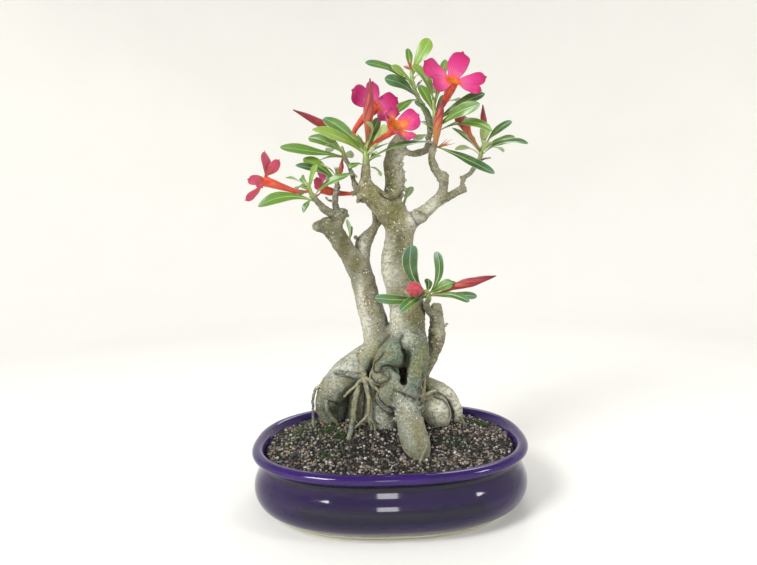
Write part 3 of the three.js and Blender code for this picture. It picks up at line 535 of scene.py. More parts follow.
wood = {
    "voxel": 1.3,
    "low": (-98.0, -66.0, 50.0),
    "high": (112.0, 60.0, 416.0),
    "step": 2.6,
    "margin": 9.0,
    "nearMargin": 6.0,  # round knobs and hollows
    "far": 14.0,  # the field's value away from every limb
    "ageBlend": 6.0,
    "hueBlend": 2.5,
    # blend in mm, age (0 root, 0.5 trunk, 1 twig), hue (0 green, 0.5 grey, 1 tan), x, y, z, radius points
    "limbs": [
        (6, 0.5, 0.55, [
            (21, 18, 132, 19.5), (22, 16, 152, 18.4), (23, 16, 173, 18.9), (23, 15, 195, 18.9),
            (20, 14, 217, 19.3), (15.5, 13, 239, 18.2), (14, 12, 255, 16.5), (17, 12, 271, 14.3),
            (18, 12, 285, 13.6), (13, 13, 300, 12.4)]),
        (5, 0.45, 0.45, [
            (-6, 24, 132, 17.5), (-7, 24, 151, 16.5), (-10, 24, 168, 15.4), (-14, 23, 187, 14.2),
            (-18, 22, 203, 13.5), (-21, 20, 218, 13), (-25, 17, 234, 12.9), (-35, 13, 252, 11),
            (-45, 8, 269, 10.1), (-52, 5, 282, 9.4), (-58, 4, 288, 8.2)]),
        (4, 0.55, 0.8, [
            (15, 12, 288, 13), (5, 8, 302, 13.4), (-6, 4, 313, 12.2), (-15, -1, 322, 10), (-17, -4, 330, 6.4),
            (-16.5, -7, 339, 4.6), (-16, -8.4, 344, 4.2)]),
        (2, 1.0, 0.4, [
            (-20, 4, 314, 4.8), (-26, 6, 324, 4), (-29, 9, 332, 3.4), (-32, 12, 343, 3.1),
            (-36, 14, 353, 2.7), (-38.5, 14.6, 358, 2.4)]),
        (1.4, 0.7, 0.9, [
            (11, 14, 296, 11), (10, 16, 310, 10.6), (11.5, 18, 324, 10.1), (14, 20, 337, 10.5),
            (12, 20, 351, 10.1), (15, 18, 364, 9.6), (21, 16, 375, 7.9), (26, 15, 381, 5)]),
        (2, 1.0, 0.4, [(23, 16, 376, 3.4), (29, 14, 383, 2.6), (31, 12, 391, 2.1)]),
        (3, 0.97, 0.4, [
            (18, 18, 364, 4.2), (26, 17, 363.5, 3.7), (36.5, 12, 361, 3.7), (46, 8, 363, 3.8),
            (50, 6, 375, 3.1), (51, 4, 389, 3.1), (47, 5, 401, 2.8), (43.5, 6.2, 409, 2.6)]),
        (5, 0.55, 0.6, [
            (17, 12, 279, 12.5), (23, 10, 285, 11.4), (31, 8, 291, 8.9), (39, 7, 296, 8.2), (47, 6, 302, 6.9),
            (56, 5, 310, 6.3), (61, 4, 316, 5.8), (63, 3, 324, 5), (63, 1, 333, 5.5), (56.5, -2, 339, 4.7),
            (53, -4, 346, 3.7), (51, -6, 354.5, 3.1), (53, -8, 361, 2.9)]),
        (1.5, 0.6, 0.8, [(57, 5, 309, 4.6), (70.5, 6, 315, 4.5), (80, 8, 320, 4.2), (86, 9, 322, 3.8)]),
        (1.5, 0.75, 0.5, [
            (83, 8.5, 321, 3.2), (84.5, 9, 328, 3.1), (87, 9, 334, 3.1), (93, 8, 338, 2.9), (97, 7, 344, 2.5),
            (101.5, 6, 351, 2.3)]),
        (4, 0.6, 0.7, [
            (-55, 4.5, 286, 7), (-63, 3.5, 286.6, 5.8), (-67, 3, 286.6, 5.6), (-70.4, 3, 287, 4.8)]),
        (2, 0.7, 0.6, [
            (-52, 5, 281, 7), (-50, 5, 287, 6.6), (-46, 6, 293, 6.2), (-43.5, 7, 298.6, 5.8),
            (-41.6, 7, 301.6, 5)]),
        (1.5, 0.97, 0.4, [
            (-46, 5, 297, 4.2), (-57, 2, 302, 4.2), (-65, -2, 309, 3.4), (-69, -5, 314.5, 2.9)]),
        (1.5, 0.97, 0.4, [(-46, 7, 300, 4.2), (-49.5, 8, 309, 3.4), (-49, 9, 320, 3.1), (-47, 10, 329, 2.6)]),
        (2.5, 0.6, 0.5, [
            (-24, 19, 234, 10), (-24, 21, 244, 9.7), (-24, 26, 259, 9.2), (-20, 28, 271, 8.4),
            (-13.5, 29, 279, 6), (-8, 30, 287, 4.6), (-2, 31, 292, 3.6)]),
        (2, 0.95, 0.4, [(-8, 30, 288, 3.4), (-9, 30, 296, 3.1), (-9.5, 30, 303, 2.5)]),
        (2, 0.98, 0.7, [
            (37, 16, 118, 5), (45, 18, 133, 5), (50, 22, 144, 6.2), (54.5, 24, 158, 8.8), (56, 23, 176, 8.3),
            (55, 20, 190, 7.2), (55.4, 19, 196, 6.4)]),
        (2, 1.0, 0.4, [(52, 16, 190, 4.4), (46, 8, 195, 3.9), (42.5, -4, 203, 3.2), (44, -12, 208.5, 2.8)]),
        # roots, back ones first
        (4, 0.1, 0.5, [
            (20, 20, 140, 20), (22, 26, 118, 23), (24, 29, 98, 23), (24, 30, 78, 22), (24, 30, 57, 20)]),
        (2.5, 0.1, 0.5, [
            (-12, 22, 132, 17), (-18, 24, 112, 16), (-20, 26, 90, 14), (-20, 27, 70, 13), (-20, 27, 57, 12)]),
        (2, 0.1, 0.4, [(-50, 30, 112, 11), (-52, 34, 90, 12), (-50, 36, 57, 12)]),
        (1.6, 0.1, 0.5, [
            (-38, 24, 126, 13), (-42, 28, 112, 12.4), (-40, 29, 92, 10.6), (-38, 30, 74, 9.4),
            (-37, 30, 57, 8.4)]),
        (5, 0.1, 0.42, [
            (14, 14, 168, 13), (-2, 18, 152, 14.2), (-16, 16, 146, 15.2), (-34, 14, 135, 16.2),
            (-52, 16, 118.5, 16.9), (-64, 20, 102, 14.8), (-68, 24, 88, 11.8), (-64, 26, 74, 9.6),
            (-62, 28, 58, 8)]),
        (0.8, 0.1, 0.5, [
            (-13, 4, 114, 9.2), (-12, 5, 102, 11), (-10, 5, 88, 13), (-7, 5, 75, 15), (-5, 7, 57, 15.5)]),
        (0.7, 0.1, 0.98, [
            (36, 14, 98, 9), (45, 12, 91, 14.2), (50, 10, 87, 16), (53, 10, 80, 14.6), (54, 12, 67, 10)]),
        (0.7, 0.1, 0.68, [
            (30, 14, 122, 7), (40, 14, 116, 7.1), (51, 17, 110.6, 7.3), (61.6, 20, 104.4, 7.4),
            (70, 21, 94.6, 7.2), (74.6, 21, 83, 6.8), (75.6, 22, 70, 6.8), (76, 23, 56, 6.6)]),
        (1.2, 0.05, 0.42, [(8, -8, 118, 10.5), (-2, -11, 108, 11.4), (3, -12, 101, 9)]),
        (0.9, 0.05, 0.28, [(-5, -1, 133.5, 5.6), (2, -5, 134, 7), (6.5, -7, 127, 8.2), (6, -8, 116, 11)]),
        (0.8, 0.05, 0.75, [
            (-6, -2, 139, 7), (-11, -6, 131.5, 7.6), (-9, -7, 125, 7.2), (-3, -9, 125.5, 4.4)]),
        (1.0, 0.0, 0.0, [
            (25, 8, 178, 11), (30, 2, 167, 12.4), (33, -1, 153, 11.5), (32, -3, 138, 10.6),
            (27.5, -6, 126, 10.5), (19, -9, 117, 11.5), (12, -10, 110, 10.5)]),
        (1.0, 0.05, 0.15, [
            (22, 6, 170, 9), (16, 1, 161, 10.8), (6, -2, 153, 13.2), (-2, -3, 145, 11.6), (-9, -4, 140, 7)]),
        (2.5, 0.05, 0.4, [(15, 3, 161, 8), (12.5, -1.5, 153, 9.4), (9.6, -3, 147.5, 9.2), (4, -5, 145, 8.4)]),
        (1.2, 0.08, 0.56, [
            (10, -8, 116, 11), (16, -12, 110, 13), (18, -18, 101, 13), (19, -26, 93, 13),
            (21.5, -34, 83, 13.6), (25, -42, 72, 13.8), (27, -47, 65, 12.2), (28, -51, 55, 9.5)]),
    ],
    # knobs: x, y, z, radius, blend
    "knobs": [
        (4.6, -22, 103, 2.8, 2), (8, -27, 106, 2.5, 1.4), (13, -31, 106, 2.8, 1.2),
        (19, -32.6, 104, 2.9, 1.2), (25, -31.6, 102.4, 2.6, 1.2), (30.4, -28, 100, 2.8, 1.4),
        (33.4, -23, 96, 2.4, 1.4), (22, -28, 110, 2.2, 1.4), (15.5, -26.5, 113, 2, 1.6),
        (27, -25, 107, 2.2, 1.4), (7.4, -32, 96.6, 2.6, 1.2), (16.5, -38.6, 94.6, 2.4, 1.2),
        (5.4, -31, 91, 2.5, 1.4), (24, -39.4, 94, 2.5, 1.2), (32, -33, 92, 2.5, 1.2),
        (12, -35.4, 101, 2.1, 1), (33.6, -25, 101.6, 1.9, 1), (20, -36.2, 99.6, 2.1, 1),
        (28.6, -37, 93.4, 2.1, 1), (10.4, -38, 92.4, 2.2, 1), (31, 8, 179, 6, 4), (60, 17, 182, 3.2, 2),
        (61.5, 18, 168, 3, 2), (60, 19, 156, 2.8, 1.6), (48.8, 15, 160, 2.6, 1.6), (50, 15, 172, 2.8, 1.8),
        (53, 13.6, 183, 2.6, 1.6), (51, 15, 194, 2.6, 1.6), (57, 12.6, 195, 2.4, 1.4),
        (59.6, 15, 190, 2.4, 1.4), (50.6, 17, 151, 2.2, 1.4), (56.4, 15.4, 163, 2.2, 1.4),
        (-47, 1, 297, 3, 2), (-42, 1.5, 303, 2.8, 2), (-38.5, 5, 301.6, 2.6, 2), (-58, -1, 291, 2.6, 1.6),
        (-67, -2.2, 289, 2.4, 1.4), (-69, 0, 283.4, 2.4, 1.4), (-45.6, 4, 303.6, 2.2, 1.4),
        (-36.6, 7, 297, 2, 1.4), (66, 0, 336, 2.6, 1.6), (60, -4, 338, 2.4, 1.6), (58, 0, 331, 2.2, 1.4),
        (64, -3, 330, 2.2, 1.4), (86, 5.5, 325, 2.4, 1.4), (89.5, 9, 320.5, 2, 1.2), (82, 4.6, 323, 1.8, 1.2),
        (82.6, 7.6, 334, 1.9, 1), (34, 2, 300, 3, 2), (23.4, 14, 342, 2.3, 1.4), (24, 16, 334, 2.2, 1.4),
        (22, 13, 350, 2.4, 1.4), (24.6, 14, 364, 2.4, 1.4), (23.6, 17.4, 325, 2.2, 1.4),
        (20.6, 13, 318, 2.2, 1.4), (21, 11.4, 329, 2, 1.2), (-23, -6.4, 316, 3.2, 2),
        (-25, -2, 312, 2.6, 1.6), (-30, 3, 257, 2.4, 1.6), (-40, 1, 270, 2.2, 1.6), (30, -1.5, 232, 3, 3),
        (2, 0, 262, 2.6, 2.5), (-34.6, 20.6, 262, 2.6, 1), (-30, 20.6, 275, 2, 1), (47, 3, 394, 1.9, 1),
        (53, 3, 381, 1.8, 1), (44, 7.6, 362, 2.4, 1), (-30, 6.6, 335, 1.8, 1), (53.6, 5, 368, 1.9, 1),
        (49, 2, 400, 1.8, 1), (-34.6, 10.6, 347, 1.7, 1), (31, 12, 361, 2, 1),
    ],
    # hollows pressed in: x, y, z, radius rows
    "hollows": [
        [(16.4, -20, 131, 3.9), (16.4, -8, 132, 4.0), (17, 4, 133, 3.6)],
        [(15.8, -20, 125, 3.6), (16.0, -8, 126, 3.8), (17, 2, 127, 3.4)],
        [(16.4, -10, 158, 0.9), (20.2, -9, 150, 1.9), (19.2, -10, 142, 2.7), (17.8, -11, 134, 3.2)],
    ],
    # flat cuts: centre, outward direction, reach
    "cuts": [
        ((28.5, 14, 383), (0.55, -0.25, 0.8), 7),
        ((34.5, -1.2, 292), (0.3, -0.95, 0.25), 8), ((-1.2, 31, 292.6), (0.8, 0, 0.6), 6),
        ((87.5, 9, 322.4), (1, 0, 0.2), 6),
    ],
    # pale scars: x, z as seen against the plane y = 0, reach in x and z, hindmost y
    "scars": [(35.6, 291, 7.6, 6.4, 6), (16, 92.6, 4.4, 2.4, -20), (6, 92.6, 3.4, 3, -20)],
    # tints and painted light and shade seen on the front: x, z, reach in x and z, hindmost y, paleness (above
    # 0 pale bark and painted light, below 0 painted shade), olive (olive bark and painted shadow)
    "tintsAndPaintedShading": [
        (52.2, 87, 14, 15, 40, 1.0, 0.6), (59.6, 109, 12, 9, 60, 0.9, 0), (73, 88, 9, 20, 60, 1.0, 0),
        (-6, 80, 14, 17, 30, 0.5, 0), (16.7, 97, 13, 9, 0, 0.5, 0), (20, 64, 9, 20, -20, 0.1, 0),
        (30, 60, 5, 20, -20, -0.2, 0.5), (-26, 212, 3.8, 24, 60, 0.8, 0), (-16, 212, 6, 26, 60, -0.25, 0),
        (-21, 180, 7, 18, 60, 0.8, 0), (8, 189, 8, 14, 60, 0.9, 0), (0, 232, 6, 24, 60, 0.8, 0),
        (12, 299, 13, 17, 60, -0.3, 0.7), (16, 266, 5.5, 20, 60, -0.75, 0.6), (11, 236, 5, 10, 60, 0.4, 0),
        (21, 170, 7, 9, 60, 0.6, 0), (28, 294, 5, 12, 60, 0.9, 0.1), (-42, 268, 6, 17, 60, -0.7, 0.8),
        (-30, 247, 6, 13, 60, -0.6, 0.6), (-16, 154, 15, 12, 40, 0.1, 0.9), (30.7, 188, 8, 14, 60, -0.3, 0.8),
        (-12, 317, 10, 12, 60, 0, 0.8), (50, 303, 11, 10, 60, 0.7, 0.2), (-56, 120, 14, 15, 40, 0.25, 0.1),
        (36, 156, 8, 16, 40, 0, 0.4), (10, 328, 10, 15, 60, -0.1, 0.4), (2, 124, 14, 10, 20, 0.1, 0),
        (0, 104, 10, 9, 20, -0.3, 0.2), (-20, 160, 12, 8, 40, 0.1, 0.6), (55, 180, 9, 20, 60, 0.5, 0.5),
        (-46, 136, 16, 8, 60, 0.7, 0), (-56, 280, 9, 13, 60, -0.7, 0.5), (-42, 124, 5, 7, 40, -0.4, 0.3),
        (62, 345, 6, 10, 60, 0.7, 0), (-22, 266, 7, 16, 60, 0.8, 0), (-36, 151, 8, 8, 60, 0.5, 0),
        (60, 326, 8, 9, 60, 0.1, 0), (22, 350, 9, 30, 60, 0.95, 0.8), (48, 178, 8, 22, 60, -0.3, 0.2),
        (3, 262, 5, 18, 60, 0.4, 0.2), (-14, 296, 7, 12, 60, 0.2, 0.7)],
    # folds drawn on the front, with painted shade along them: depth, width, shade, hindmost y, then x, z as
    # seen against the plane y = 0
    "folds": [
        (1.5, 1.2, 1.0, 14, [
            (16.3, 171), (14, 167), (17, 155.4), (20.8, 149.5), (19.5, 141.5), (17.6, 134.6)]),
        (1.4, 1.1, 1.0, 14, [
            (-4.1, 153.3), (-9.5, 145.7), (-14.8, 142.4), (-16.1, 136.6), (-13.4, 131.9), (-7.6, 132.3),
            (-5.8, 136.9), (-0.6, 138), (5.1, 136.6), (11.3, 132.9)]),
        (1.3, 1.1, 0.9, 14, [
            (-19.1, 130.9), (-18.1, 126.3), (-13.7, 120.3), (-8, 119), (-1, 121.7), (2.5, 125.7),
            (1.5, 130.7)]),
        (1.2, 1.2, 0.9, 12, [(-13.4, 112.4), (-12.3, 108.6), (-9.6, 101.5), (-4.1, 95.5), (3.9, 90.5)]),
        (1.2, 0.9, 0.9, 0, [(5.6, 112.4), (13.6, 109.6), (22.6, 105.8), (30, 101.6), (36.4, 100.2)]),
        (-1.0, 1.1, 0.0, 0, [(4, 115), (13.6, 112), (22.6, 108), (32, 103.4)]),
        (1.3, 1.0, 0.8, 16, [(-66, 102.6), (-60, 100.4), (-55.7, 99.3), (-50, 97.2), (-45.4, 97.9)]),
        (0.9, 0.9, 0.5, 16, [(-68.6, 100), (-66, 92), (-62.6, 84)]),
        (0.9, 0.8, 0.6, 14, [(-32.2, 153.3), (-31.2, 147.5), (-28.5, 141.7), (-29.8, 137)]),
        (1.0, 1.0, 0.6, 14, [(-52, 129), (-44, 127.4), (-36, 126.4), (-29, 128)]),
        (1.2, 1.0, 0.8, 16, [(-45.1, 107.4), (-44.2, 96.7), (-46.9, 87.3)]),
        (0.9, 0.8, 0.7, 12, [(39.1, 128), (39.1, 123.4), (41.3, 115.2), (37.6, 106), (36, 98)]),
        (0.7, 0.7, 0.5, 12, [(34, 112), (36.6, 118), (38, 126), (42, 134)]),
        (0.8, 0.8, 0.5, 12, [(22.5, 178), (30, 172.5), (38, 174)]),
        (0.7, 0.7, 0.4, 12, [(24, 168), (31, 165), (37, 168.6)]),
        (0.7, 1.0, 0.3, 0, [(6, 90), (12, 87), (21, 86.4), (32, 88)]),
        (1.3, 1.2, 0.7, 24, [(-6, 160), (-3, 166), (2, 172)]),
        (1.1, 1.0, 0.9, 24, [(-2.1, 319.4), (3.5, 314.6), (10.6, 312.6), (17.4, 314.7), (20, 318)]),
        (1.0, 0.8, 0.8, 14, [(28.4, 297.5), (31.9, 291.7), (36.3, 283.3)]),
        (0.8, 1.0, 0.9, 16, [(49, 105), (57, 101.6), (62.6, 96), (65.6, 89), (66, 79)]),
        (2.2, 2.0, 1.0, 26, [(-26, 110), (-26.6, 104), (-27.5, 95), (-29.4, 84), (-30, 74)]),
        (1.6, 1.4, 1.0, 26, [(-42, 108), (-43.6, 100), (-45, 92), (-46.5, 82), (-46, 72)]),
        (0.8, 0.7, 0.6, 14, [(42.9, 298), (45.8, 290.3)]),
        (0.8, 0.7, 0.6, 20, [(-35.1, 240), (-30, 237.6), (-20.5, 239.4)]),
        (0.7, 0.8, 0.5, 14, [(62, 306), (60, 312), (63, 317)]),
        (0.7, 0.7, 0.5, 14, [(58, 325), (62, 323), (66, 326)]),
        (0.7, 0.7, 0.5, 14, [(52, 333), (56, 336), (61, 343)]),
        (0.9, 1.0, 0.5, 14, [(-64, 281), (-66, 287), (-64, 293)]),
        (0.8, 0.9, 0.5, 14, [(-53, 292), (-47, 293), (-41, 290)]),
    ],
    # extra rough places: x, y, z, reach, gain
    "rugged": [
        (18, -28, 102, 13, 5.5), (56, 18, 186, 14, 3.0), (54, 18, 160, 14, 2.2), (22, 16, 322, 14, 2.2),
        (22, 14, 350, 14, 2.2), (60, 0, 335, 10, 2.4), (-45, 4, 302, 10, 2.0), (-66, 3, 288, 9, 2.0),
        (86, 8, 324, 8, 2.4), (34, 3, 292, 9, 1.6), (32, 2, 172, 11, 1.6), (-10, 8, 84, 12, 1.2)],
    # noise scale, and height in mm
    "lumps": (0.045, 1.1),
    "knuckles": (0.13, 0.75),
    "ripple": (0.36, 0.26),
    "rings": (0.09, 0.42),  # noise scale across and up the trunk
    "creaseShadeReach": (2.5, 5.0),  # how far out the wood is felt for the painted crease shade
    "hollowFront": -16.0,  # no hollow gets painted shade in front of this y
    # bark colours: share of the hue, then the screen colour
    "rootTones": [
        (0.0, 56, 94, 52), (0.2, 74, 106, 86), (0.38, 96, 114, 114), (0.56, 122, 122, 106),
        (0.74, 156, 148, 108), (1.0, 206, 190, 138)],
    "trunkTones": [
        (0.15, 124, 136, 132), (0.4, 142, 140, 120), (0.58, 172, 160, 126), (0.76, 136, 128, 76),
        (1.0, 104, 96, 50)],
    "twigTones": [(0.2, 58, 52, 42), (0.5, 88, 78, 62), (0.8, 116, 102, 72)],
    "lichen": (212, 216, 208),
}


def makeField():
    low, high, voxel = np.array(wood["low"]), np.array(wood["high"]), wood["voxel"]
    size = np.ceil((high - low) / voxel).astype(int) + 1
    axes = [low[i] + np.arange(size[i]) * voxel for i in range(3)]
    field = np.full(size, wood["far"], np.float32)
    age, hue = np.full(size, 0.5, np.float32), np.full(size, 0.5, np.float32)

    def window(lowest, highest):
        start = np.maximum(np.floor((lowest - low) / voxel).astype(int), 0)
        stop = np.minimum(np.ceil((highest - low) / voxel).astype(int) + 1, size)
        return tuple(slice(a, b) for a, b in zip(start, stop))

    def grid(box):
        spots = [axes[i][box[i]].astype(np.float32) for i in range(3)]
        return np.meshgrid(*spots, indexing="ij", sparse=True)

    def chain(rows, margin):
        path = smoothPath(rows, step=wood["step"])
        reach = path[:, 3].max() + margin
        outer = window((path[:, :3] - reach).min(0), (path[:, :3] + reach).max(0))
        start = [part.start for part in outer]
        local = np.full([part.stop - part.start for part in outer], wood["far"], np.float32)
        for a, b in zip(path[:-1], path[1:]):
            r = max(a[3], b[3]) + margin
            box = window(np.minimum(a[:3], b[:3]) - r, np.maximum(a[:3], b[:3]) + r)
            x, y, z = grid(box)
            span = b[:3] - a[:3]
            t = ((x - a[0]) * span[0] + (y - a[1]) * span[1] + (z - a[2]) * span[2]) / np.dot(span, span)
            t = np.clip(t, 0, 1)
            gap = np.sqrt((x - a[0] - t * span[0]) ** 2 + (y - a[1] - t * span[1]) ** 2
                          + (z - a[2] - t * span[2]) ** 2) - (a[3] + t * (b[3] - a[3]))
            inner = tuple(slice(part.start - s, part.stop - s) for part, s in zip(box, start))
            np.minimum(local[inner], gap, out=local[inner])
        return outer, local

    def merge(box, local, blend, limbAge=None, limbHue=None):
        old = field[box]
        weight = np.clip(0.5 + 0.5 * (old - local) / blend, 0, 1)
        field[box] = old + (local - old) * weight - blend * weight * (1 - weight)
        if limbAge is not None:
            wide = np.clip(0.5 + 0.5 * (old - local) / wood["ageBlend"], 0, 1)
            age[box] += (limbAge - age[box]) * wide
            narrow = np.clip(0.5 + 0.5 * (old - local) / wood["hueBlend"], 0, 1)
            hue[box] += (limbHue - hue[box]) * narrow

    for blend, limbAge, limbHue, rows in wood["limbs"]:
        box, local = chain(rows, wood["margin"])
        merge(box, local, blend, limbAge, limbHue)
    for x0, y0, z0, radius, blend in wood["knobs"]:
        reach = radius + wood["nearMargin"]
        box = window(np.array((x0, y0, z0)) - reach, np.array((x0, y0, z0)) + reach)
        x, y, z = grid(box)
        merge(box, np.sqrt((x - x0) ** 2 + (y - y0) ** 2 + (z - z0) ** 2) - radius, blend)
    for rows in wood["hollows"]:
        box, local = chain(rows, wood["nearMargin"])
        field[box] = np.maximum(field[box], -local)
    for centre, way, reach in wood["cuts"]:
        centre, way = np.array(centre, float), unit(np.array(way, float))
        box = window(centre - reach, centre + reach)
        x, y, z = grid(box)
        beyond = (x - centre[0]) * way[0] + (y - centre[1]) * way[1] + (z - centre[2]) * way[2]
        near = np.sqrt((x - centre[0]) ** 2 + (y - centre[1]) ** 2 + (z - centre[2]) ** 2) - reach
        field[box] = np.maximum(field[box], np.minimum(beyond, -near))
    return field, age, hue


def readField(field, points):  # even blend of the eight nearest cells
    place = (points - np.array(wood["low"])) / wood["voxel"]
    place = np.clip(place, 0, np.array(field.shape) - 1.001)
    cell = np.floor(place).astype(int)
    part = place - cell
    total = np.zeros(len(points))
    for corner in range(8):
        step = np.array((corner & 1, corner >> 1 & 1, corner >> 2 & 1))
        share = np.prod(np.where(step, part, 1 - part), axis=1)
        at = cell + step
        total += share * field[at[:, 0], at[:, 1], at[:, 2]]
    return total


def meshField(field):
    band = 4 * wood["voxel"]
    volume = openvdb.FloatGrid(band)
    volume.copyFromArray(np.clip(field, -band, band))
    volume.gridClass = openvdb.GridClass.LEVEL_SET
    volume.transform = openvdb.createLinearTransform(voxelSize=wood["voxel"])
    points, quads = volume.convertToQuads(0.0)
    return points + np.array(wood["low"]), quads[:, ::-1]


def slopeAt(field, points):
    step = wood["voxel"]
    slope = np.column_stack([
        readField(field, points + step * axis) - readField(field, points - step * axis)
        for axis in np.eye(3)])
    return slope / np.maximum(np.linalg.norm(slope, axis=1), 1e-6)[:, None]


def lineGap(points, rows):  # distance from each point to a drawn line
    gap = np.full(len(points), 1e3)
    for a, b in zip(np.array(rows, float)[:-1], np.array(rows, float)[1:]):
        t = np.clip(((points - a) @ (b - a)) / np.dot(b - a, b - a), 0, 1)
        gap = np.minimum(gap, np.linalg.norm(points - a - t[:, None] * (b - a), axis=1))
    return gap


def drawFolds(points, normals):
    eye = np.array(view["place"])
    toEye = eye - points
    facing = np.einsum("ij,ij->i", normals, toEye) / np.linalg.norm(toEye, axis=1)
    share = -eye[1] / (points[:, 1] - eye[1])
    flat = (eye + (points - eye) * share[:, None])[:, (0, 2)]
    press, shade, valleyShade = np.zeros(len(points)), np.zeros(len(points)), np.zeros(len(points))
    for depth, width, dark, back, rows in wood["folds"]:
        seen = smoothStep(facing, 0.05, 0.35) * smoothStep(-points[:, 1], -back - 4, -back)
        gap = lineGap(flat, rows)
        near, broad = np.exp(-(gap / width) ** 2), np.exp(-(gap / width / 3.4) ** 2)
        press += depth * (0.6 * near + 0.8 * broad) * seen
        # painted shade: a dark line along each fold, and a broad soft darkening beside it
        shade = np.maximum(shade, dark * np.exp(-(gap / width / 0.7) ** 2) * seen)
        valleyShade = np.maximum(valleyShade, dark * broad * seen)
    scar = np.zeros(len(points))
    for x0, z0, reachX, reachZ, back in wood["scars"]:
        away = np.hypot((flat[:, 0] - x0) / reachX, (flat[:, 1] - z0) / reachZ)
        seen = smoothStep(facing, 0.2, 0.5) * (points[:, 1] < back)
        scar = np.maximum(scar, smoothStep(-away, -1.1, -0.8) * seen)
    # painted light and shade: pale washes on parts the lamps leave dim and on lit sides, dark washes on
    # shaded parts, olive washes for olive bark and shadow bands
    pale, olive = np.zeros(len(points)), np.zeros(len(points))
    for x0, z0, reachX, reachZ, back, light, green in wood["tintsAndPaintedShading"]:
        near = np.exp(-((flat[:, 0] - x0) / reachX) ** 2 - ((flat[:, 1] - z0) / reachZ) ** 2)
        near *= smoothStep(facing, -0.5, 0.1) * (points[:, 1] < back)
        pale += light * near
        olive = np.maximum(olive, green * near)
    return press, shade, valleyShade, {"barkScar": scar, "barkPaleAndPaintedShading": pale, "barkOliveAndPaintedShadow": olive}


def makeBark():
    material, tree, shader, place = newMaterial("greyBark", Specular_IOR_Level=0.3)
    age, hue = pointValue(tree, "barkAge"), pointValue(tree, "barkHue")
    creaseShade, fold = pointValue(tree, "barkHollow"), pointValue(tree, "barkFold")
    wide = patchMask(tree, place, 17.0, 0.36, 0.64)
    mid = patchMask(tree, place, 6.0, 0.36, 0.64)
    small = patchMask(tree, place, 2.2, 0.36, 0.64)
    shift = times(tree, calc(tree, "SUBTRACT", plus(tree, wide, mid), 1.0), 0.24)
    hue = plus(tree, hue, shift)
    root, trunk, twig = [ramp(tree, hue, wood[key]) for key in ("rootTones", "trunkTones", "twigTones")]
    colour = mixed(tree, eased(tree, age, 0.12, 0.42), root, trunk)
    colour = mixed(tree, eased(tree, age, 0.62, 0.95), colour, twig)
    rosy = patchMask(tree, place, 11.0, 0.5, 0.62)
    rosy = times(tree, rosy, eased(tree, age, 0.2, 0.5, 0.1, 0.5))
    colour = mixed(tree, rosy, colour, tint(156, 128, 106))
    olive = patchMask(tree, place, 24.0, 0.5, 0.62)
    colour = over(tree, colour, olive, 0.6, tint(116, 114, 46))
    blotch = patchMask(tree, place, 3.6, 0.5, 0.62)
    colour = over(tree, colour, blotch, 0.3, tint(66, 66, 48))
    colour = over(tree, colour, mid, 0.36, tint(62, 64, 48))
    light = mixed(tree, eased(tree, age, 0.8, 1.0), tint(170, 176, 158), tint(204, 198, 190))
    colour = mixed(tree, times(tree, small, eased(tree, age, 0.8, 1.0, 0.5, 0.6)), colour, light)
    tiny = patchMask(tree, place, 1.1, 0.4, 0.6)
    colour = over(tree, colour, tiny, 0.48, tint(58, 56, 42))
    # olive bark, and painted shadow where the trunk lies in shade
    oliveAndShadowTint = mixed(tree, between(tree, mid, 0.2, 0.7), tint(124, 122, 48), tint(86, 84, 42))
    colour = mixed(tree, times(tree, pointValue(tree, "barkOliveAndPaintedShadow"), 0.8), colour, oliveAndShadowTint)
    # painted light where the wash is above 0 (also pale bark), painted shade where it is below 0
    pale = pointValue(tree, "barkPaleAndPaintedShading")
    broken = between(tree, patchMask(tree, place, 3.0, 0.36, 0.6), 0.3, 0.85)
    colour = mixed(tree, times(tree, pale, broken, clamp=True), colour, tint(216, 216, 202))
    colour = mixed(tree, times(tree, pale, -0.7, clamp=True), colour, tint(48, 46, 26))
    patchy = patchMask(tree, place, 16.0, 0.42, 0.62)
    lichen = fleckMask(tree, place, 2.2, 0.42, 0.3)
    lichen = times(tree, lichen, between(tree, patchy, 0.02, 0.95))
    colour = mixed(tree, lichen, colour, tint(*wood["lichen"]))
    dots = fleckMask(tree, place, 2.3, 0.5, 0.24)
    dots = times(tree, dots, eased(tree, wide, 0.1, 0.8, 0.25, 0.95))
    colour = mixed(tree, dots, colour, tint(30, 26, 20))
    scar = pointValue(tree, "barkScar")
    colour = over(tree, colour, scar, 0.45, tint(178, 172, 168))
    stretched = put(tree, "VectorMath", {0: place, 1: (0.4, 0.4, 1.5)}, operation="MULTIPLY").outputs[0]
    rings = noiseField(tree, stretched, 0.5, 5.0, 0.65)
    colour = mixed(tree, eased(tree, rings, 0.52, 0.68, 0.0, 0.5), colour, tint(60, 56, 42))
    scaly = times(tree, eased(tree, rings, 0.49, 0.44), eased(tree, age, 0.8, 1.0, 0.0, 0.65))
    colour = mixed(tree, scaly, colour, tint(206, 200, 192))
    # painted shade: darker in creases between limbs, and black along the drawn folds and inside the knot
    # holes
    colour = mixed(tree, eased(tree, creaseShade, 0.2, 0.95, 0.0, 0.7), colour, tint(44, 40, 26))
    colour = mixed(tree, eased(tree, fold, 0.12, 0.9, 0.0, 0.93), colour, tint(18, 15, 11))
    relief = grainHeight(tree, place, 1.0, 3.4, 0.45)
    relief = plus(tree, relief, times(tree, rings, 0.9))
    relief = plus(tree, relief, times(tree, lichen, 0.3))
    relief = calc(tree, "SUBTRACT", relief, times(tree, dots, 0.35))
    dress(tree, shader, colour, between(tree, patchy, 0.52, 0.74), relief, 0.9, 1.0)
    return material


woodField, woodAge, woodHue = makeField()
print("wood field ready", woodField.shape)
bark = makeBark()


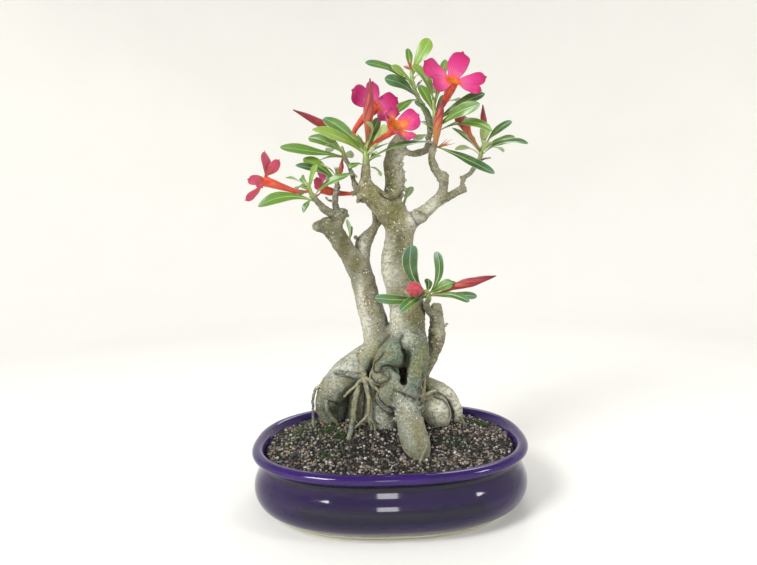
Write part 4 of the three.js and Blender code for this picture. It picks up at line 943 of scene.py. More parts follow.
def makeWood():
    points, quads = meshField(woodField)
    normals = slopeAt(woodField, points)
    age = readField(woodAge, points)
    # painted shade: darker the more nearby wood hems a point in, as in creases between limbs
    creaseShade = np.zeros(len(points))
    for reach in wood["creaseShadeReach"]:
        creaseShade += np.clip(1 - readField(woodField, points + normals * reach) / reach, 0, 1)
    creaseShade /= len(wood["creaseShadeReach"])
    press, shade, valleyShade, drawn = drawFolds(points, normals)
    creaseShade = np.minimum(creaseShade + 0.7 * valleyShade, 1)
    # painted shade: black inside the pressed hollows of the knot hole and slit
    for rows in wood["hollows"]:
        rows = np.array(rows)
        inside = rows[0, 3] + 0.9 - lineGap(points, rows[:, :3])
        shade = np.maximum(shade, smoothStep(inside, -0.6, 1.0) * (points[:, 1] > wood["hollowFront"]))
    rough = 0.9 + 1.2 * smoothStep(age, 0.55, 1.0)
    for x0, y0, z0, reach, gain in wood["rugged"]:
        away = np.linalg.norm(points - np.array((x0, y0, z0)), axis=1) / reach
        rough += gain * np.exp(-(away**2))
    lumps, knuckles, ripple = wood["lumps"], wood["knuckles"], wood["ripple"]
    across, upward = wood["rings"]
    lift = np.empty(len(points))
    for index, spot in enumerate(points):
        spot = Vector(spot)
        wide = noise.fractal(spot * lumps[0], 1.0, 2.0, 3)
        knuckle = noise.noise(spot * knuckles[0] + Vector((7, 3, 1)))
        rings = noise.noise(Vector((spot.x * across, spot.y * across, spot.z * upward)))
        fine = noise.noise(spot * ripple[0])
        lift[index] = wide * lumps[1] + knuckle * knuckles[1]
        lift[index] += (rings + 1.2 * fine) * ripple[1] * rough[index]
    shape = Shape("barkAge", "barkHue", "barkHollow", "barkFold", *drawn)
    shape.add(points + normals * (lift - press)[:, None], quads.tolist(), barkAge=age,
              barkHue=readField(woodHue, points), barkHollow=creaseShade, barkFold=shade, **drawn)
    makePiece("trunkAndRoots", shape, bark, ["wood"])
    print("wood faces", len(quads))


makeWood()

# hanging roots and small dry stalks

rootlets = {
    "sides": 10,
    "step": 1.6,
    "sway": (0.16, 0.7, 1.4),  # noise scale, share of the radius, most in mm
    "swell": (0.55, 0.22),  # noise scale, share of the radius
    "rows": [  # age, hue, then x, y, z, radius points
        (0, 0.72, [
            (-27, 6, 141, 3.6), (-26.4, 1, 136, 3.4), (-25.6, -3, 129, 3.6), (-23, -6, 122, 2.9),
            (-20.6, -9, 110, 2.4), (-20.6, -11, 98, 2.3), (-22, -12, 91, 2.2), (-20, -12.3, 84, 2),
            (-18, -12.6, 77, 1.7), (-17, -13, 64, 1.4)]),
        (0, 0.6, [
            (-28, 2, 128, 3.4), (-31, -4, 118, 3.0), (-34, -8, 108, 3.2), (-35.4, -11, 97, 3.0),
            (-37, -14.6, 86, 2.7), (-39.6, -20, 77, 2.6), (-40.6, -25, 70, 2.4), (-41, -28, 58, 2.0)]),
        (0.9, 0.3, [
            (-68, 12, 117, 2.6), (-74, 11.5, 115.4, 1.8), (-78.6, 12, 111, 1.6), (-81.6, 13, 102, 1.5),
            (-82, 14, 88, 1.5), (-81.8, 15, 74, 1.4), (-81.7, 15.5, 60, 1.4)]),
        (0, 0.6, [
            (-66, 8, 104, 3.0), (-67, 6, 96, 2.5), (-64.6, 6, 88, 2.3), (-60, 7, 81, 2.1),
            (-56, 9, 75.5, 1.8), (-53, 10, 62, 1.2)]),
        (0, 0.76, [
            (-26, -3.4, 126.6, 2.4), (-33, -6.4, 121, 1.6), (-40, -7.4, 114.4, 1.5), (-46.4, -8, 109, 1.2)]),
        (0, 0.76, [
            (-23, -4, 127, 2.4), (-17, -8, 122, 1.8), (-12.6, -11.6, 117.4, 1.7), (-9, -13, 114, 1.2)]),
        (0, 0.76, [
            (-21.4, -12, 92, 1.8), (-25, -13.6, 86.4, 1.6), (-29.6, -14.6, 83, 1.4), (-35.6, -17, 78, 1.1)]),
        (0, 0.6, [
            (-20.6, -12, 89, 1.5), (-17.6, -13.6, 85.6, 1.4), (-15, -15, 79, 1.2), (-13.6, -16, 68, 1.0)]),
        (0, 0.5, [
            (-56, 2, 133, 2.4), (-50, -1.6, 133.6, 2.5), (-42, -3, 131.8, 2.6), (-34, -3.4, 129.6, 2.7),
            (-27, -3, 128.6, 3)]),
        (0, 0.7, [
            (-30, 5, 152, 1.6), (-30.4, 2.4, 146, 1.9), (-28.4, 0.8, 140, 2.4), (-26.4, -1.6, 133, 3)]),
        (0, 0.72, [
            (38.4, 4, 128, 1.8), (38.6, 0, 119, 1.6), (37.4, -4, 110, 1.6), (36, -8, 100, 1.4),
            (37, -10, 90, 1.0)]),
        (0, 0.72, [
            (34, -4, 118, 1.5), (35.6, -5, 111, 1.5), (34, -9, 104, 1.5), (30.4, -15, 100, 1.4)]),
        (0, 0.72, [
            (36, 0, 103, 2.4), (40.6, -3, 107.6, 2.3), (46, -4.6, 110.6, 2.2), (50.4, -4.6, 111, 1.8)]),
        (0, 0.72, [
            (21, -15, 113, 1.6), (28, -12, 109.6, 2.1), (34, -8, 105.6, 2.2), (38.4, -2, 102, 2.4)]),
        (0, 0.8, [
            (34.6, -51, 74, 1.4), (33.4, -57, 69, 1.5), (29.6, -61.6, 64.6, 1.5), (27.4, -63.4, 60, 1.4),
            (26.3, -64, 55.5, 1.1)]),
        (0, 0.55, [
            (78, 18, 76, 2.0), (81.4, 14.6, 71, 1.6), (84, 12, 65, 1.1)]),
    ],
    "stalks": [
        (1, 0.3, [
            (98.6, 6.6, 346.5, 1.5), (103, 7, 350, 1.2), (108, 7.4, 352.6, 1.0), (114, 7.6, 353.4, 0.9)]),
        (1, 0.3, [
            (35.4, 7.6, 425, 1.3), (38.6, 7.2, 428.6, 1.1), (43.6, 6.4, 434, 1.0)]),
        (1, 0.2, [
            (-13.5, -9.5, 360.6, 1.3), (-7, -6.5, 365.6, 1.2), (-2, -6, 369.6, 1.5), (2.6, -5.4, 374, 1.3)]),
        (1, 0.4, [
            (-50.8, 8.6, 311, 1.8), (-56, 7, 314, 1.3), (-59.4, 6, 317.4, 1.1)]),
        (1, 0.3, [
            (52.4, -8, 366, 1.6), (47.6, -9.4, 369, 1.4), (45, -10, 373, 1.1)]),
        (1, 0.4, [
            (60.6, 20, 174, 2.4), (65, 19, 176.4, 1.5), (67, 18.6, 179, 1.2)]),
    ],
}


def makeRootlets(name, rows):
    swayScale, share, most = rootlets["sway"]
    swellScale, swell = rootlets["swell"]
    shape = Shape("barkAge", "barkHue", "barkHollow", "barkFold")
    for index, (age, hue, root) in enumerate(rows):
        path = smoothPath(root, step=rootlets["step"])
        for spot in path[1:-1]:
            sway = noise.noise_vector(Vector(spot[:3]) * swayScale)
            spot[:3] += np.array(sway) * min(most, share * spot[3])
            spot[3] *= 1 + swell * noise.noise(Vector(spot[:3]) * swellScale)
        points, faces, _, _ = sweepTube(
            path, rootlets["sides"], lambda s, a: 1 + 0.1 * np.sin(3 * a + 19 * s + index) * np.sin(31 * s))
        shape.add(points, faces, barkAge=age, barkHue=hue)
    makePiece(name, shape, bark)


makeRootlets("hangingRoots", rootlets["rows"])
makeRootlets("dryStalks", rootlets["stalks"])
print("hanging roots made")

# soil, grit and moss

soil = {
    "edgeLevel": 58.3,
    "crownLevel": 62.6,
    "sideInset": -13.9,
    "rings": 60,
    "sides": 180,
    "lumps": 0.9,
    "grains": 6900,
    "grainRadius": (0.85, 2.5),
    "stretch": (0.62, 1.12),
    "dents": (-0.2, 0.16),
    "flatten": 0.85,
    "flank": [(8.5, -28), (14, -18.6), (28, -12.2), (47, -19)],  # height, step out from the rim's half axes
    "bumps": (0.3, 0.7),  # noise scale, and height in mm
    "sink": (-0.1, 0.75),  # height of a grain's middle in radii
    "mound": (11.0, 30.0, 125.0, 92.0),  # height, middle's y, reach in x and y
    "seed": 11,
    "earthTones": [(24, 25, 22), (44, 44, 39)],
    # share of a grain's tone, then the screen colour
    "gritTones": [
        (0.0, 20, 22, 20), (0.34, 46, 49, 48), (0.54, 74, 75, 74), (0.7, 106, 102, 104), (0.8, 128, 124, 124),
        (0.87, 140, 128, 106), (0.93, 158, 156, 154), (1.0, 196, 195, 192)],
    "rustTones": [
        (0.0, 32, 22, 18), (0.34, 64, 48, 42), (0.54, 98, 78, 70), (0.7, 136, 112, 102), (0.8, 164, 134, 108),
        (0.87, 172, 142, 102), (0.93, 190, 168, 148), (1.0, 212, 200, 184)],
}
moss = {
    # x, y, reach in x, reach in y, blades
    "patches": [
        (-96, 16, 15, 11, 520), (-68, 2, 18, 14, 420), (-88, 54, 30, 16, 300), (100, 30, 20, 12, 220),
        (-46, -18, 26, 16, 260), (-60, -44, 26, 14, 160), (64, -30, 26, 16, 160), (20, -68, 26, 8, 50),
        (-104, -10, 16, 14, 90)],
    "blade": (1.3, 2.9),
    "width": (0.4, 0.8),
    "spread": 0.42,
    "lean": 0.4,
    "seed": 5,
    "tones": [(28, 48, 32), (54, 80, 36)],
    "tips": (72, 94, 46),
}


def soilLevel(x, y):
    share = ovalShare(x, y, soil["sideInset"])
    level = soil["edgeLevel"] + (soil["crownLevel"] - soil["edgeLevel"]) * (1 - np.minimum(share, 1) ** 2)
    wave = np.sin(x * 0.11 + y * 0.07) + np.cos(y * 0.13 - x * 0.05) + 0.6 * np.sin(x * 0.31 - y * 0.27)
    rise, middle, reachX, reachY = soil["mound"]
    near = np.hypot(np.asarray(x) / reachX, (np.asarray(y) - middle) / reachY)
    level = level + rise * smoothStep(-near, -1.0, -0.5) * (1 - np.minimum(share, 1) ** 6)
    return level + soil["lumps"] * 0.45 * wave * (1 - np.minimum(share, 1) ** 4)


def makeEarth():
    material, tree, shader, place = newMaterial("darkEarth", Specular_IOR_Level=0.2)
    damp = patchMask(tree, place, 7.0, 0.4, 0.62)
    colour = twoTone(tree, damp, soil["earthTones"])
    crumbs = fleckMask(tree, place, 1.5, 0.35, 0.4)
    colour = mixed(tree, crumbs, colour, tint(80, 78, 73))
    dress(tree, shader, colour, 0.95, grainHeight(tree, place, 0.7, 3.0, 0.5), 1.0, 1.2)
    return material


def makeGrit():
    material, tree, shader, place = newMaterial("mixedGrit", Specular_IOR_Level=0.35)
    tone = pointValue(tree, "grainTone")
    colour = ramp(tree, tone, soil["gritTones"])
    rusty = ramp(tree, tone, soil["rustTones"])
    sort = patchMask(tree, place, 3.4, 0.46, 0.56)
    colour = over(tree, colour, sort, 0.6, rusty)
    dusty = patchMask(tree, place, 1.6, 0.4, 0.7)
    colour = over(tree, colour, dusty, 0.3, tint(66, 52, 46))
    rough = eased(tree, tone, 0.2, 1.0, 0.85, 0.55)
    dress(tree, shader, colour, rough, grainHeight(tree, place, 0.35, 1.2, 0.5), 0.8, 0.3)
    return material


def makeSoil():
    angles = evenAngles(soil["sides"])
    scale, height = soil["bumps"]
    flank = soil["flank"] + [(soil["edgeLevel"] - 1.2, soil["sideInset"] - 0.2)]
    rings = [ovalLoft(flank, angles)]
    for share in np.linspace(1, 0.02, soil["rings"]):
        x, y = ovalPoint(angles, soil["sideInset"], share)
        rings.append(np.column_stack((x, y, soilLevel(x, y))))
    points = np.vstack(rings)
    count = len(flank) + soil["rings"]
    for spot in points[(len(flank) + 1) * soil["sides"]:]:
        spot[2] += height * noise.noise(Vector(spot) * scale)
    faces = ringFaces(count, soil["sides"]) + fanFaces(count, soil["sides"], len(points), len(points) + 1)
    shape = Shape()
    shape.add(np.vstack((points, [(0, 0, flank[0][0]), (0, 0, soilLevel(0.0, 0.0))])), faces)
    makePiece("earth", shape, makeEarth(), ["soil"])


def pebbleForm():  # twelve corners and twenty faces
    golden = (1 + math.sqrt(5)) / 2
    corners = []
    for a in (-1, 1):
        for b in (-golden, golden):
            corners += [(0, a, b), (a, b, 0), (b, 0, a)]
    corners = np.array(corners, float)
    corners /= np.linalg.norm(corners[0])
    gap = min(np.linalg.norm(corners[0] - other) for other in corners[1:]) * 1.01
    faces = []
    for i in range(12):
        for j in range(i + 1, 12):
            for k in range(j + 1, 12):
                trio = corners[[i, j, k]]
                if all(np.linalg.norm(trio[p] - trio[q]) < gap for p, q in ((0, 1), (1, 2), (0, 2))):
                    outward = np.dot(np.cross(trio[1] - trio[0], trio[2] - trio[0]), trio.sum(0)) > 0
                    faces.append((i, j, k) if outward else (i, k, j))
    return corners, faces


def turned(rng, count):  # a random turn for each grain
    q = rng.normal(size=(count, 4))
    q /= np.linalg.norm(q, axis=1)[:, None]
    w, x, y, z = q.T
    return np.stack([
        np.stack([1 - 2 * (y * y + z * z), 2 * (x * y - z * w), 2 * (x * z + y * w)], -1),
        np.stack([2 * (x * y + z * w), 1 - 2 * (x * x + z * z), 2 * (y * z - x * w)], -1),
        np.stack([2 * (x * z - y * w), 2 * (y * z + x * w), 1 - 2 * (x * x + y * y)], -1)], 1)


def makeGrains():
    rng = np.random.default_rng(soil["seed"])
    many = soil["grains"] * 3
    x = rng.uniform(-1, 1, many) * (pot["halfLength"] + soil["sideInset"])
    y = rng.uniform(-1, 1, many) * (pot["halfWidth"] + soil["sideInset"])
    smallest, largest = soil["grainRadius"]
    radius = smallest + (largest - smallest) * rng.beta(1.3, 2.6, many)
    z = soilLevel(x, y) + radius * rng.uniform(*soil["sink"], many)
    inside = ovalShare(x, y, soil["sideInset"] - radius * 1.05) < 1
    clear = readField(woodField, np.column_stack((x, y, z))) > radius * 0.55
    chosen = np.flatnonzero(inside & clear)[:soil["grains"]]
    x, y, z, radius = x[chosen], y[chosen], z[chosen], radius[chosen]
    count = len(chosen)
    corners, faces = pebbleForm()
    stretch = rng.uniform(*soil["stretch"], (count, 1, 3))
    rough = 1 + rng.uniform(*soil["dents"], (count, len(corners), 1))
    local = corners[None] * rough * stretch * radius[:, None, None]
    local = np.einsum("nij,nkj->nki", turned(rng, count), local)
    local[:, :, 2] *= soil["flatten"]
    points = local + np.column_stack((x, y, z))[:, None]
    steps = np.arange(count)[:, None, None] * len(corners)
    shape = Shape("grainTone")
    shape.add(points.reshape(-1, 3), (np.array(faces)[None] + steps).reshape(-1, 3).tolist(),
              grainTone=np.repeat(rng.uniform(0, 1, count), len(corners)))
    makePiece("grit", shape, makeGrit(), smooth=False)
    print("grains", count)


def makeMoss():
    material, tree, shader, place = newMaterial("greenMoss", Specular_IOR_Level=0.2)
    height = pointValue(tree, "mossHeight")
    colour = twoTone(tree, patchMask(tree, place, 6.0, 0.4, 0.62), moss["tones"])
    colour = mixed(tree, eased(tree, height, 0.3, 1.0, 0.0, 0.6), colour, tint(*moss["tips"]))
    dress(tree, shader, colour, 0.8, grainHeight(tree, place, 0.3, 1.0, 0.5), 0.5, 0.2)
    rng = np.random.default_rng(moss["seed"])
    shape = Shape("mossHeight")
    for midX, midY, reachX, reachY, blades in moss["patches"]:
        spread = rng.normal(0, moss["spread"], (blades, 2))
        x, y = midX + spread[:, 0] * reachX, midY + spread[:, 1] * reachY
        z = soilLevel(x, y)
        keep = (ovalShare(x, y, soil["sideInset"] - 3) < 1) & (
            readField(woodField, np.column_stack((x, y, z + 1))) > 0.8)
        for px, py, pz in zip(x[keep], y[keep], z[keep]):
            tall = rng.uniform(*moss["blade"])
            lean = rng.normal(0, moss["lean"], 2)
            turn = rng.uniform(0, 2 * math.pi)
            wide = rng.uniform(*moss["width"])
            corners = [turn + k * 2 * math.pi / 3 for k in range(3)]
            ring = [(px + wide * math.cos(a), py + wide * math.sin(a), pz - 0.3) for a in corners]
            tip = (px + lean[0] * tall, py + lean[1] * tall, pz + 0.6 + tall)
            shape.add(ring + [tip], [(0, 1, 3), (1, 2, 3), (2, 0, 3), (2, 1, 0)],
                      mossHeight=np.array((0, 0, 0, 1.0)))
    makePiece("moss", shape, material)


makeSoil()
makeGrains()
makeMoss()
print("soil, grit and moss made")

# leaves

leaf = {
    "outline": [
        (0, 0.15), (0.08, 0.17), (0.2, 0.37), (0.36, 0.66), (0.52, 0.9), (0.65, 1.0), (0.77, 0.95),
        (0.86, 0.76), (0.93, 0.48), (0.97, 0.24), (1, 0.03)],
    "blunt": [
        (0, 0.15), (0.1, 0.2), (0.3, 0.46), (0.5, 0.76), (0.66, 0.95), (0.78, 1.0), (0.88, 0.92),
        (0.94, 0.74), (0.975, 0.5), (0.992, 0.27), (1, 0.05)],
    "rows": 24,
    "columns": (-1, -0.88, -0.66, -0.4, -0.18, -0.07, 0, 0.07, 0.18, 0.4, 0.66, 0.88, 1),
    "thickness": 0.5,
    "stemSides": 14,
    "stemStep": 0.8,
    "fold": 0.24,  # how far the halves rise from the midrib
    "wave": 0.55,
    "twist": 10.0,
    "sink": 0.8,
    "seed": 3,
    # share of the leaf's tone, then the screen colour of its upper side
    "topTones": [(0.0, 30, 66, 42), (0.35, 52, 94, 40), (0.65, 92, 130, 42), (1.0, 142, 168, 62)],
    "underTones": [(124, 150, 104), (172, 188, 122)],
    "rib": (178, 198, 124),
    "edge": (190, 200, 126),
    "stemTones": [(118, 110, 86), (132, 156, 72)],
}
shoots = {
    "leaves_top": {
        "stem": [
            (44.4, 5.9, 407, 2.5), (42, 6.5, 412, 2.3), (37, 8, 423, 2.2), (34, 8, 435, 2),
            (33, 8.5, 446, 1.4)],
        # base, tip, width, arch, roll in degrees, tone from dark to bright, and a sideways bow
        "leaves": [
            ((34, 8, 441), (53, 4, 474), 16, 4, 65, 0.8), ((33, 9, 443), (31, 16, 470), 8, 1, 50, 0.35),
            ((34, 7.5, 431), (-14, -4, 450), 13, 5, -68, 0.45),
            ((36, 7.5, 425), (12, -6, 445), 14, 3, -72, 0.8),
            ((40.6, 6.6, 414), (5, -14, 430), 17, 5, -72, 0.2),
            ((41, 6, 415), (16, -14, 397), 10, 3, -40, 0.5),
            ((34, 9, 437), (41, 24, 454), 9, 2, 20, 0.6), ((36, 9, 428), (16, 46, 442), 12, 5, 0, 0.5),
            ((39, 8, 420), (66, 40, 430), 12, 6, 0, 0.4), ((34, 9, 433), (54, 36, 452), 11, 4, 0, 0.6)]},
    "leaves_right": {
        "stem": [
            (52.7, -7.7, 359, 2.9), (54, -9, 366, 2.7), (56, -9.5, 376, 2.6), (55.5, -8, 390, 2.4),
            (54, -7, 404, 2), (53.7, -6.6, 413, 1.4)],
        "leaves": [
            ((54, -7, 409), (33.5, -15, 443), 16, 5, -72, 0.75),
            ((54.5, -6, 402), (70, 14, 457), 9, 3, 35, 0.6),
            ((56, -8.5, 388), (102, -25, 410), 12, 5, 80, 0.3),
            ((56.5, -9.5, 382), (94, -40, 396), 13, 5, 78, 0.6),
            ((56, -9.5, 378), (107, -33, 372), 10, 3, 58, 0.6, -9),
            ((54, -9, 364), (111, -22, 333), 12, 4, 54, 0.1),
            ((54.5, -8, 384), (34, -16, 407), 10, 3, -60, 0.4),
            ((55, -7, 380), (38, 17, 394), 9, 3, -20, 0.5),
            ((54.5, -7.5, 396), (40, -5, 426), 11, 3, -65, 0.7),
            ((55, -6, 393), (72, 5, 418), 10, 3, 45, 0.6),
            ((55, -7, 386), (60, 40, 404), 12, 6, 0, 0.5), ((54.5, -6, 399), (86, 24, 416), 12, 5, 0, 0.5),
            ((55, -8, 372), (36, 28, 374), 11, 6, 0, 0.4)]},
    "leaves_middle": {
        "stem": [
            (-16.2, -8, 342, 4.2), (-15.8, -9.5, 350, 3.6), (-15.7, -10, 358, 3.1), (-15.3, -10.6, 364, 2.4),
            (-15, -11, 369, 1.5)],
        "leaves": [
            ((-16.5, -11, 357), (-67, -30, 379), 17, 6, -55, 0.85),
            ((-16.5, -10, 360), (-58, -4, 396), 14, 6, -60, 0.45),
            ((-15.5, -11, 360), (-29, -27, 374), 8, 2, -60, 0.85),
            ((-15.3, -10, 366), (-16, -6, 390), 7, 1, 60, 0.5),
            ((-14.6, -9.5, 364), (-2, 2, 396), 10, 2, 50, 0.3),
            ((-14.6, -12.6, 357), (5, -40, 379), 10, 4, -48, 0.9),
            ((-15.4, -13, 360), (-10.8, -46, 381), 8, 4, -12, 0.5),
            ((-14.6, -10, 357), (7, -14, 367), 6, 1, 20, 0.5),
            ((-15, -10.5, 351), (46, -36, 363), 12, 5, 40, 0.3),
            ((-14.8, -9, 361), (-4, 9, 381), 7, 2, 30, 0.5), ((-15, -8.5, 349), (-1, 6, 360), 8, 3, 30, 0.5),
            ((-14.5, -8, 346), (-1, -3, 336), 9, 3, 0, 0.4),
            ((-17, -9, 347), (-33, -16, 343), 8, 3, -25, 0.5),
            ((-15.8, -9, 358), (-20, 38, 378), 13, 6, 0, 0.5),
            ((-15.8, -9, 361), (-42, 28, 388), 12, 5, 0, 0.4),
            ((-15, -9, 355), (-6, 36, 362), 11, 5, 0, 0.5)]},
    "leaves_back_left": {
        "stem": [
            (-37.8, 14.4, 356, 2.4), (-39.5, 15, 361, 2.2), (-40.5, 15.3, 366, 1.9), (-41.4, 15.6, 371, 1.3)],
        "leaves": [
            ((-40, 14.6, 360), (-104, 0, 369), 14, 4, -62, 0.65),
            ((-40.6, 15.4, 364), (-77, 20, 382), 13, 4, -60, 0.6),
            ((-41, 15.6, 367), (-67, 30, 388), 9, 2, -40, 0.4),
            ((-40.6, 14.8, 366), (-57, -2, 370), 8, 2, -20, 0.5),
            ((-39, 14, 359), (-64, -9, 353), 6, 2, 0, 0.4),
            ((-40.4, 15.6, 364), (-60, 54, 372), 11, 5, 0, 0.5),
            ((-39.6, 15.6, 361), (-33, 58, 366), 11, 5, 0, 0.5)]},
    "leaves_left": {
        "stem": [(-47.4, 9.8, 327, 2.7), (-47.4, 10, 333, 2.3), (-47.5, 10, 338, 2), (-47.6, 10, 344, 1.3)],
        "leaves": [
            ((-48, 9.6, 335), (-81, 3, 357), 14, 4, -58, 0.7),
            ((-48, 9, 333), (-87, -12, 348), 11, 4, -50, 0.2),
            ((-47.6, 9, 339), (-62, -8, 349), 8, 2, -35, 0.6),
            ((-47.4, 10.6, 340), (-47, 26, 351), 8, 2, 10, 0.5),
            ((-46.8, 9.2, 336), (-31, 0, 339), 8, 3, 30, 0.6),
            ((-47, 10.6, 332), (-64, 44, 340), 12, 5, 0, 0.5),
            ((-46.6, 10.6, 335), (-28, 46, 342), 10, 5, 0, 0.5)]},
    "leaves_low_left": {
        "blunt": 0.2,
        "stem": [
            (-67.8, -4.2, 312.6, 2.9), (-71, -6.4, 317, 2.7), (-73.4, -8, 321.5, 2.4), (-74.6, -9.4, 326, 2),
            (-75.2, -10, 331, 1.3)],
        "leaves": [
            ((-69.6, -6.6, 312.5), (-124, -24, 307), 13, 5, -55, 0.6, 5),
            ((-74, -9, 325), (-95, -26, 334), 9, 3, -25, 0.5),
            ((-73.6, -9, 323), (-64, -24, 346), 10, 2, 50, 0.7),
            ((-71, -7.4, 317), (-33, -18, 336), 9, 4, 40, 0.5),
            ((-74.6, -8.6, 327), (-84, 4, 339), 8, 3, -30, 0.5),
            ((-71.5, -7.5, 315), (-80, -18, 300), 7, 3, -25, 0.3),
            ((-73.6, -7.4, 322), (-92, 26, 328), 11, 6, 0, 0.5)]},
    "leaves_far_right": {
        "stem": [
            (100.8, 6.1, 349.5, 2.3), (103, 5.8, 355, 2.3), (104, 5.6, 360, 2.1), (105.6, 5.3, 366, 1.3)],
        "leaves": [
            ((105.2, 5.6, 364), (110, 4, 388), 11, 1, 70, 0.6),
            ((105, 5, 362), (132, -10, 386), 11, 4, 50, 0.4),
            ((105, 6, 361), (141, 14, 376), 8, 3, 35, 0.6),
            ((104.4, 4.6, 357), (147, -14, 363), 12, 8, 45, 0.35),
            ((104, 4.4, 359), (104, -26, 363), 11, 4, 0, 0.9),
            ((103, 5.4, 358), (73, -2, 383), 7, 2, -62, 0.6),
            ((103.4, 6.4, 357), (110, 42, 368), 12, 5, 0, 0.5),
            ((104.6, 6.2, 360), (134, 36, 364), 11, 5, 0, 0.5),
            ((103, 6.6, 356), (82, 38, 368), 11, 5, 0, 0.5)]},
    "leaves_trunk_spray": {
        "blunt": 1.0,
        "stem": [
            (43.6, -10.8, 207.4, 2.8), (44, -15, 210.5, 2.6), (43, -19.5, 213.5, 2.8),
            (41.6, -22.4, 217, 2.2), (41, -24, 220, 1.5)],
        "leaves": [
            ((39.4, -23.6, 217), (26.6, -27, 264), 17, 2, 0, 0.15, -6),
            ((44.8, -20, 215.6), (52.6, -23, 257.6), 11, 2, 0, 0.2, 3.5),
            ((41.4, -20, 212.5), (-10.5, -36, 214), 10, 6, -35, 0.3),
            ((41.6, -21.6, 213.5), (13, -47, 202), 10, 5, -20, 0.4),
            ((42, -23, 218), (42.6, -32, 231), 9, 1, 0, 0.15),
            ((44, -20, 216), (66, -32, 227), 11, 3, 25, 0.5),
            ((44.4, -18, 213), (91, -26, 212), 8, 5, 15, 0.2),
            ((43.6, -20.4, 213), (80, -45, 209), 8, 4, 0, 0.3),
            ((42, -22.4, 214.4), (33, -44, 213), 9, 3, 0, 0.4),
            ((44.6, -16, 212), (76, 0, 224), 10, 4, 0, 0.3)]},
    "leaves_fork": {
        "stem": [(-36.5, 11, 262, 1.6), (-36.2, 10.6, 269, 1.5), (-36, 10, 274, 1.2)],
        "leaves": [
            ((-36.2, 9.8, 271), (-38, 5, 294), 5, 1, 0, 0.3), ((-36.4, 10, 270), (-47, 0, 287), 4, 1, 0, 0.4),
            ((-36, 10.6, 271), (-34.5, 19, 287), 5, 1, 0, 0.2)]},
    "leaves_rear": {
        "stem": [(20, 17, 305, 2), (23, 21, 310.5, 1.7), (25, 24, 315, 1.2)],
        "leaves": [
            ((24, 23, 312), (34, 30, 328), 8, 2, 0, 0.1),
            ((24.4, 23, 313), (20, 44, 326), 8, 2, 0, 0.3)]},
}


def bladeFrame(base, tip, axis, roll):
    way = unit(np.array(tip, float) - np.array(base, float))
    face = unit(axis - way * np.dot(axis, way))
    turn = math.radians(roll)
    return way, face * math.cos(turn) + np.cross(way, face) * math.sin(turn)


def bladeFaces(rows, columns):  # upper and lower skins with closed edges
    faces = []
    under = rows * columns
    for row in range(rows - 1):
        for column in range(columns - 1):
            a = row * columns + column
            quad = (a, a + 1, a + 1 + columns, a + columns)
            faces.append(quad)
            faces.append(tuple(index + under for index in reversed(quad)))
        left, right = row * columns, row * columns + columns - 1
        faces.append((left, left + columns, left + columns + under, left + under))
        faces.append((right + columns, right, right + under, right + columns + under))
    last = (rows - 1) * columns
    for column in range(columns - 1):
        faces.append((column + 1, column, column + under, column + 1 + under))
        faces.append((last + column, last + column + 1, last + column + 1 + under, last + column + under))
    return faces


def bladeSkins(u, v, upper, lower, **values):  # points, faces and point values of a blade
    values["bladeAlong"] = np.tile(np.repeat(u, len(v)), 2)
    values["bladeAcross"] = np.tile(v, 2 * len(u))
    values["bladeUnder"] = np.repeat((0.0, 1.0), len(u) * len(v))
    return np.vstack((upper.reshape(-1, 3), lower.reshape(-1, 3))), bladeFaces(len(u), len(v)), values


def leafBlade(base, tip, width, arch, roll, bow, blunt, axis, rng):
    u = 1 - (1 - np.linspace(0, 1, leaf["rows"])) ** 1.6  # closer rows toward the tip
    v = np.array(leaf["columns"])
    way, face = bladeFrame(base, tip, axis, roll)
    base = np.array(base, float) + way * leaf["sink"]
    length = np.linalg.norm(np.array(tip) - base)
    pointed, rounded = [through(*np.array(leaf[key]).T, u) for key in ("outline", "blunt")]
    half = np.maximum((pointed + (rounded - pointed) * blunt) * width / 2, 0.06)
    sag = 4 * u * (1 - u) * arch
    slope = 4 * arch * (1 - 2 * u) / length
    sway = rng.normal(0, 0.03) * length * np.sin(math.pi * u) + 4 * u * (1 - u) * bow
    along = way[None] + face[None] * slope[:, None]
    along /= np.linalg.norm(along, axis=1)[:, None]
    normal = face[None] - along * (along @ face)[:, None]
    normal /= np.linalg.norm(normal, axis=1)[:, None]
    side = np.cross(along, normal)
    twist = np.radians(rng.normal(0, leaf["twist"])) * smoothStep(u, 0.1, 1)
    cosine, sine = np.cos(twist)[:, None], np.sin(twist)[:, None]
    side, normal = side * cosine + normal * sine, normal * cosine - side * sine
    middle = base + way * (length * u)[:, None] + face * sag[:, None] + side * sway[:, None]
    out = half[:, None] * v[None]
    fold = leaf["fold"] * (0.5 + 0.5 * smoothStep(u, 0.05, 0.4)) * (1 - 0.5 * smoothStep(u, 0.7, 1))
    lift = np.abs(out) * fold[:, None] * (1 - 0.35 * np.abs(v)[None])
    phase = 2 * math.pi * (1.7 * u[:, None] + rng.uniform())
    ripple = np.sin(phase + np.sign(v)[None] * rng.uniform(0.4, 1.4))
    lift = lift + leaf["wave"] * ripple * v[None] ** 2 * np.minimum(1, half / 4)[:, None]
    groove = np.exp(-(out / 0.55) ** 2)
    top = lift - 0.12 * groove
    keel = 0.5 * np.exp(-(out / 0.7) ** 2) * (1 - 0.75 * smoothStep(u, 0, 0.95))[:, None]
    thick = leaf["thickness"] * (0.25 + 0.75 * (1 - v[None] ** 4))
    thick = thick * (0.5 + 0.5 * np.minimum(1, half / 3))[:, None]
    low = lift - thick - keel
    grid = middle[:, None] + side[:, None] * out[..., None]
    upper = grid + normal[:, None] * top[..., None]
    lower = grid + normal[:, None] * low[..., None]
    return bladeSkins(u, v, upper, lower, bladeRib=np.tile(np.abs(out).reshape(-1), 2))


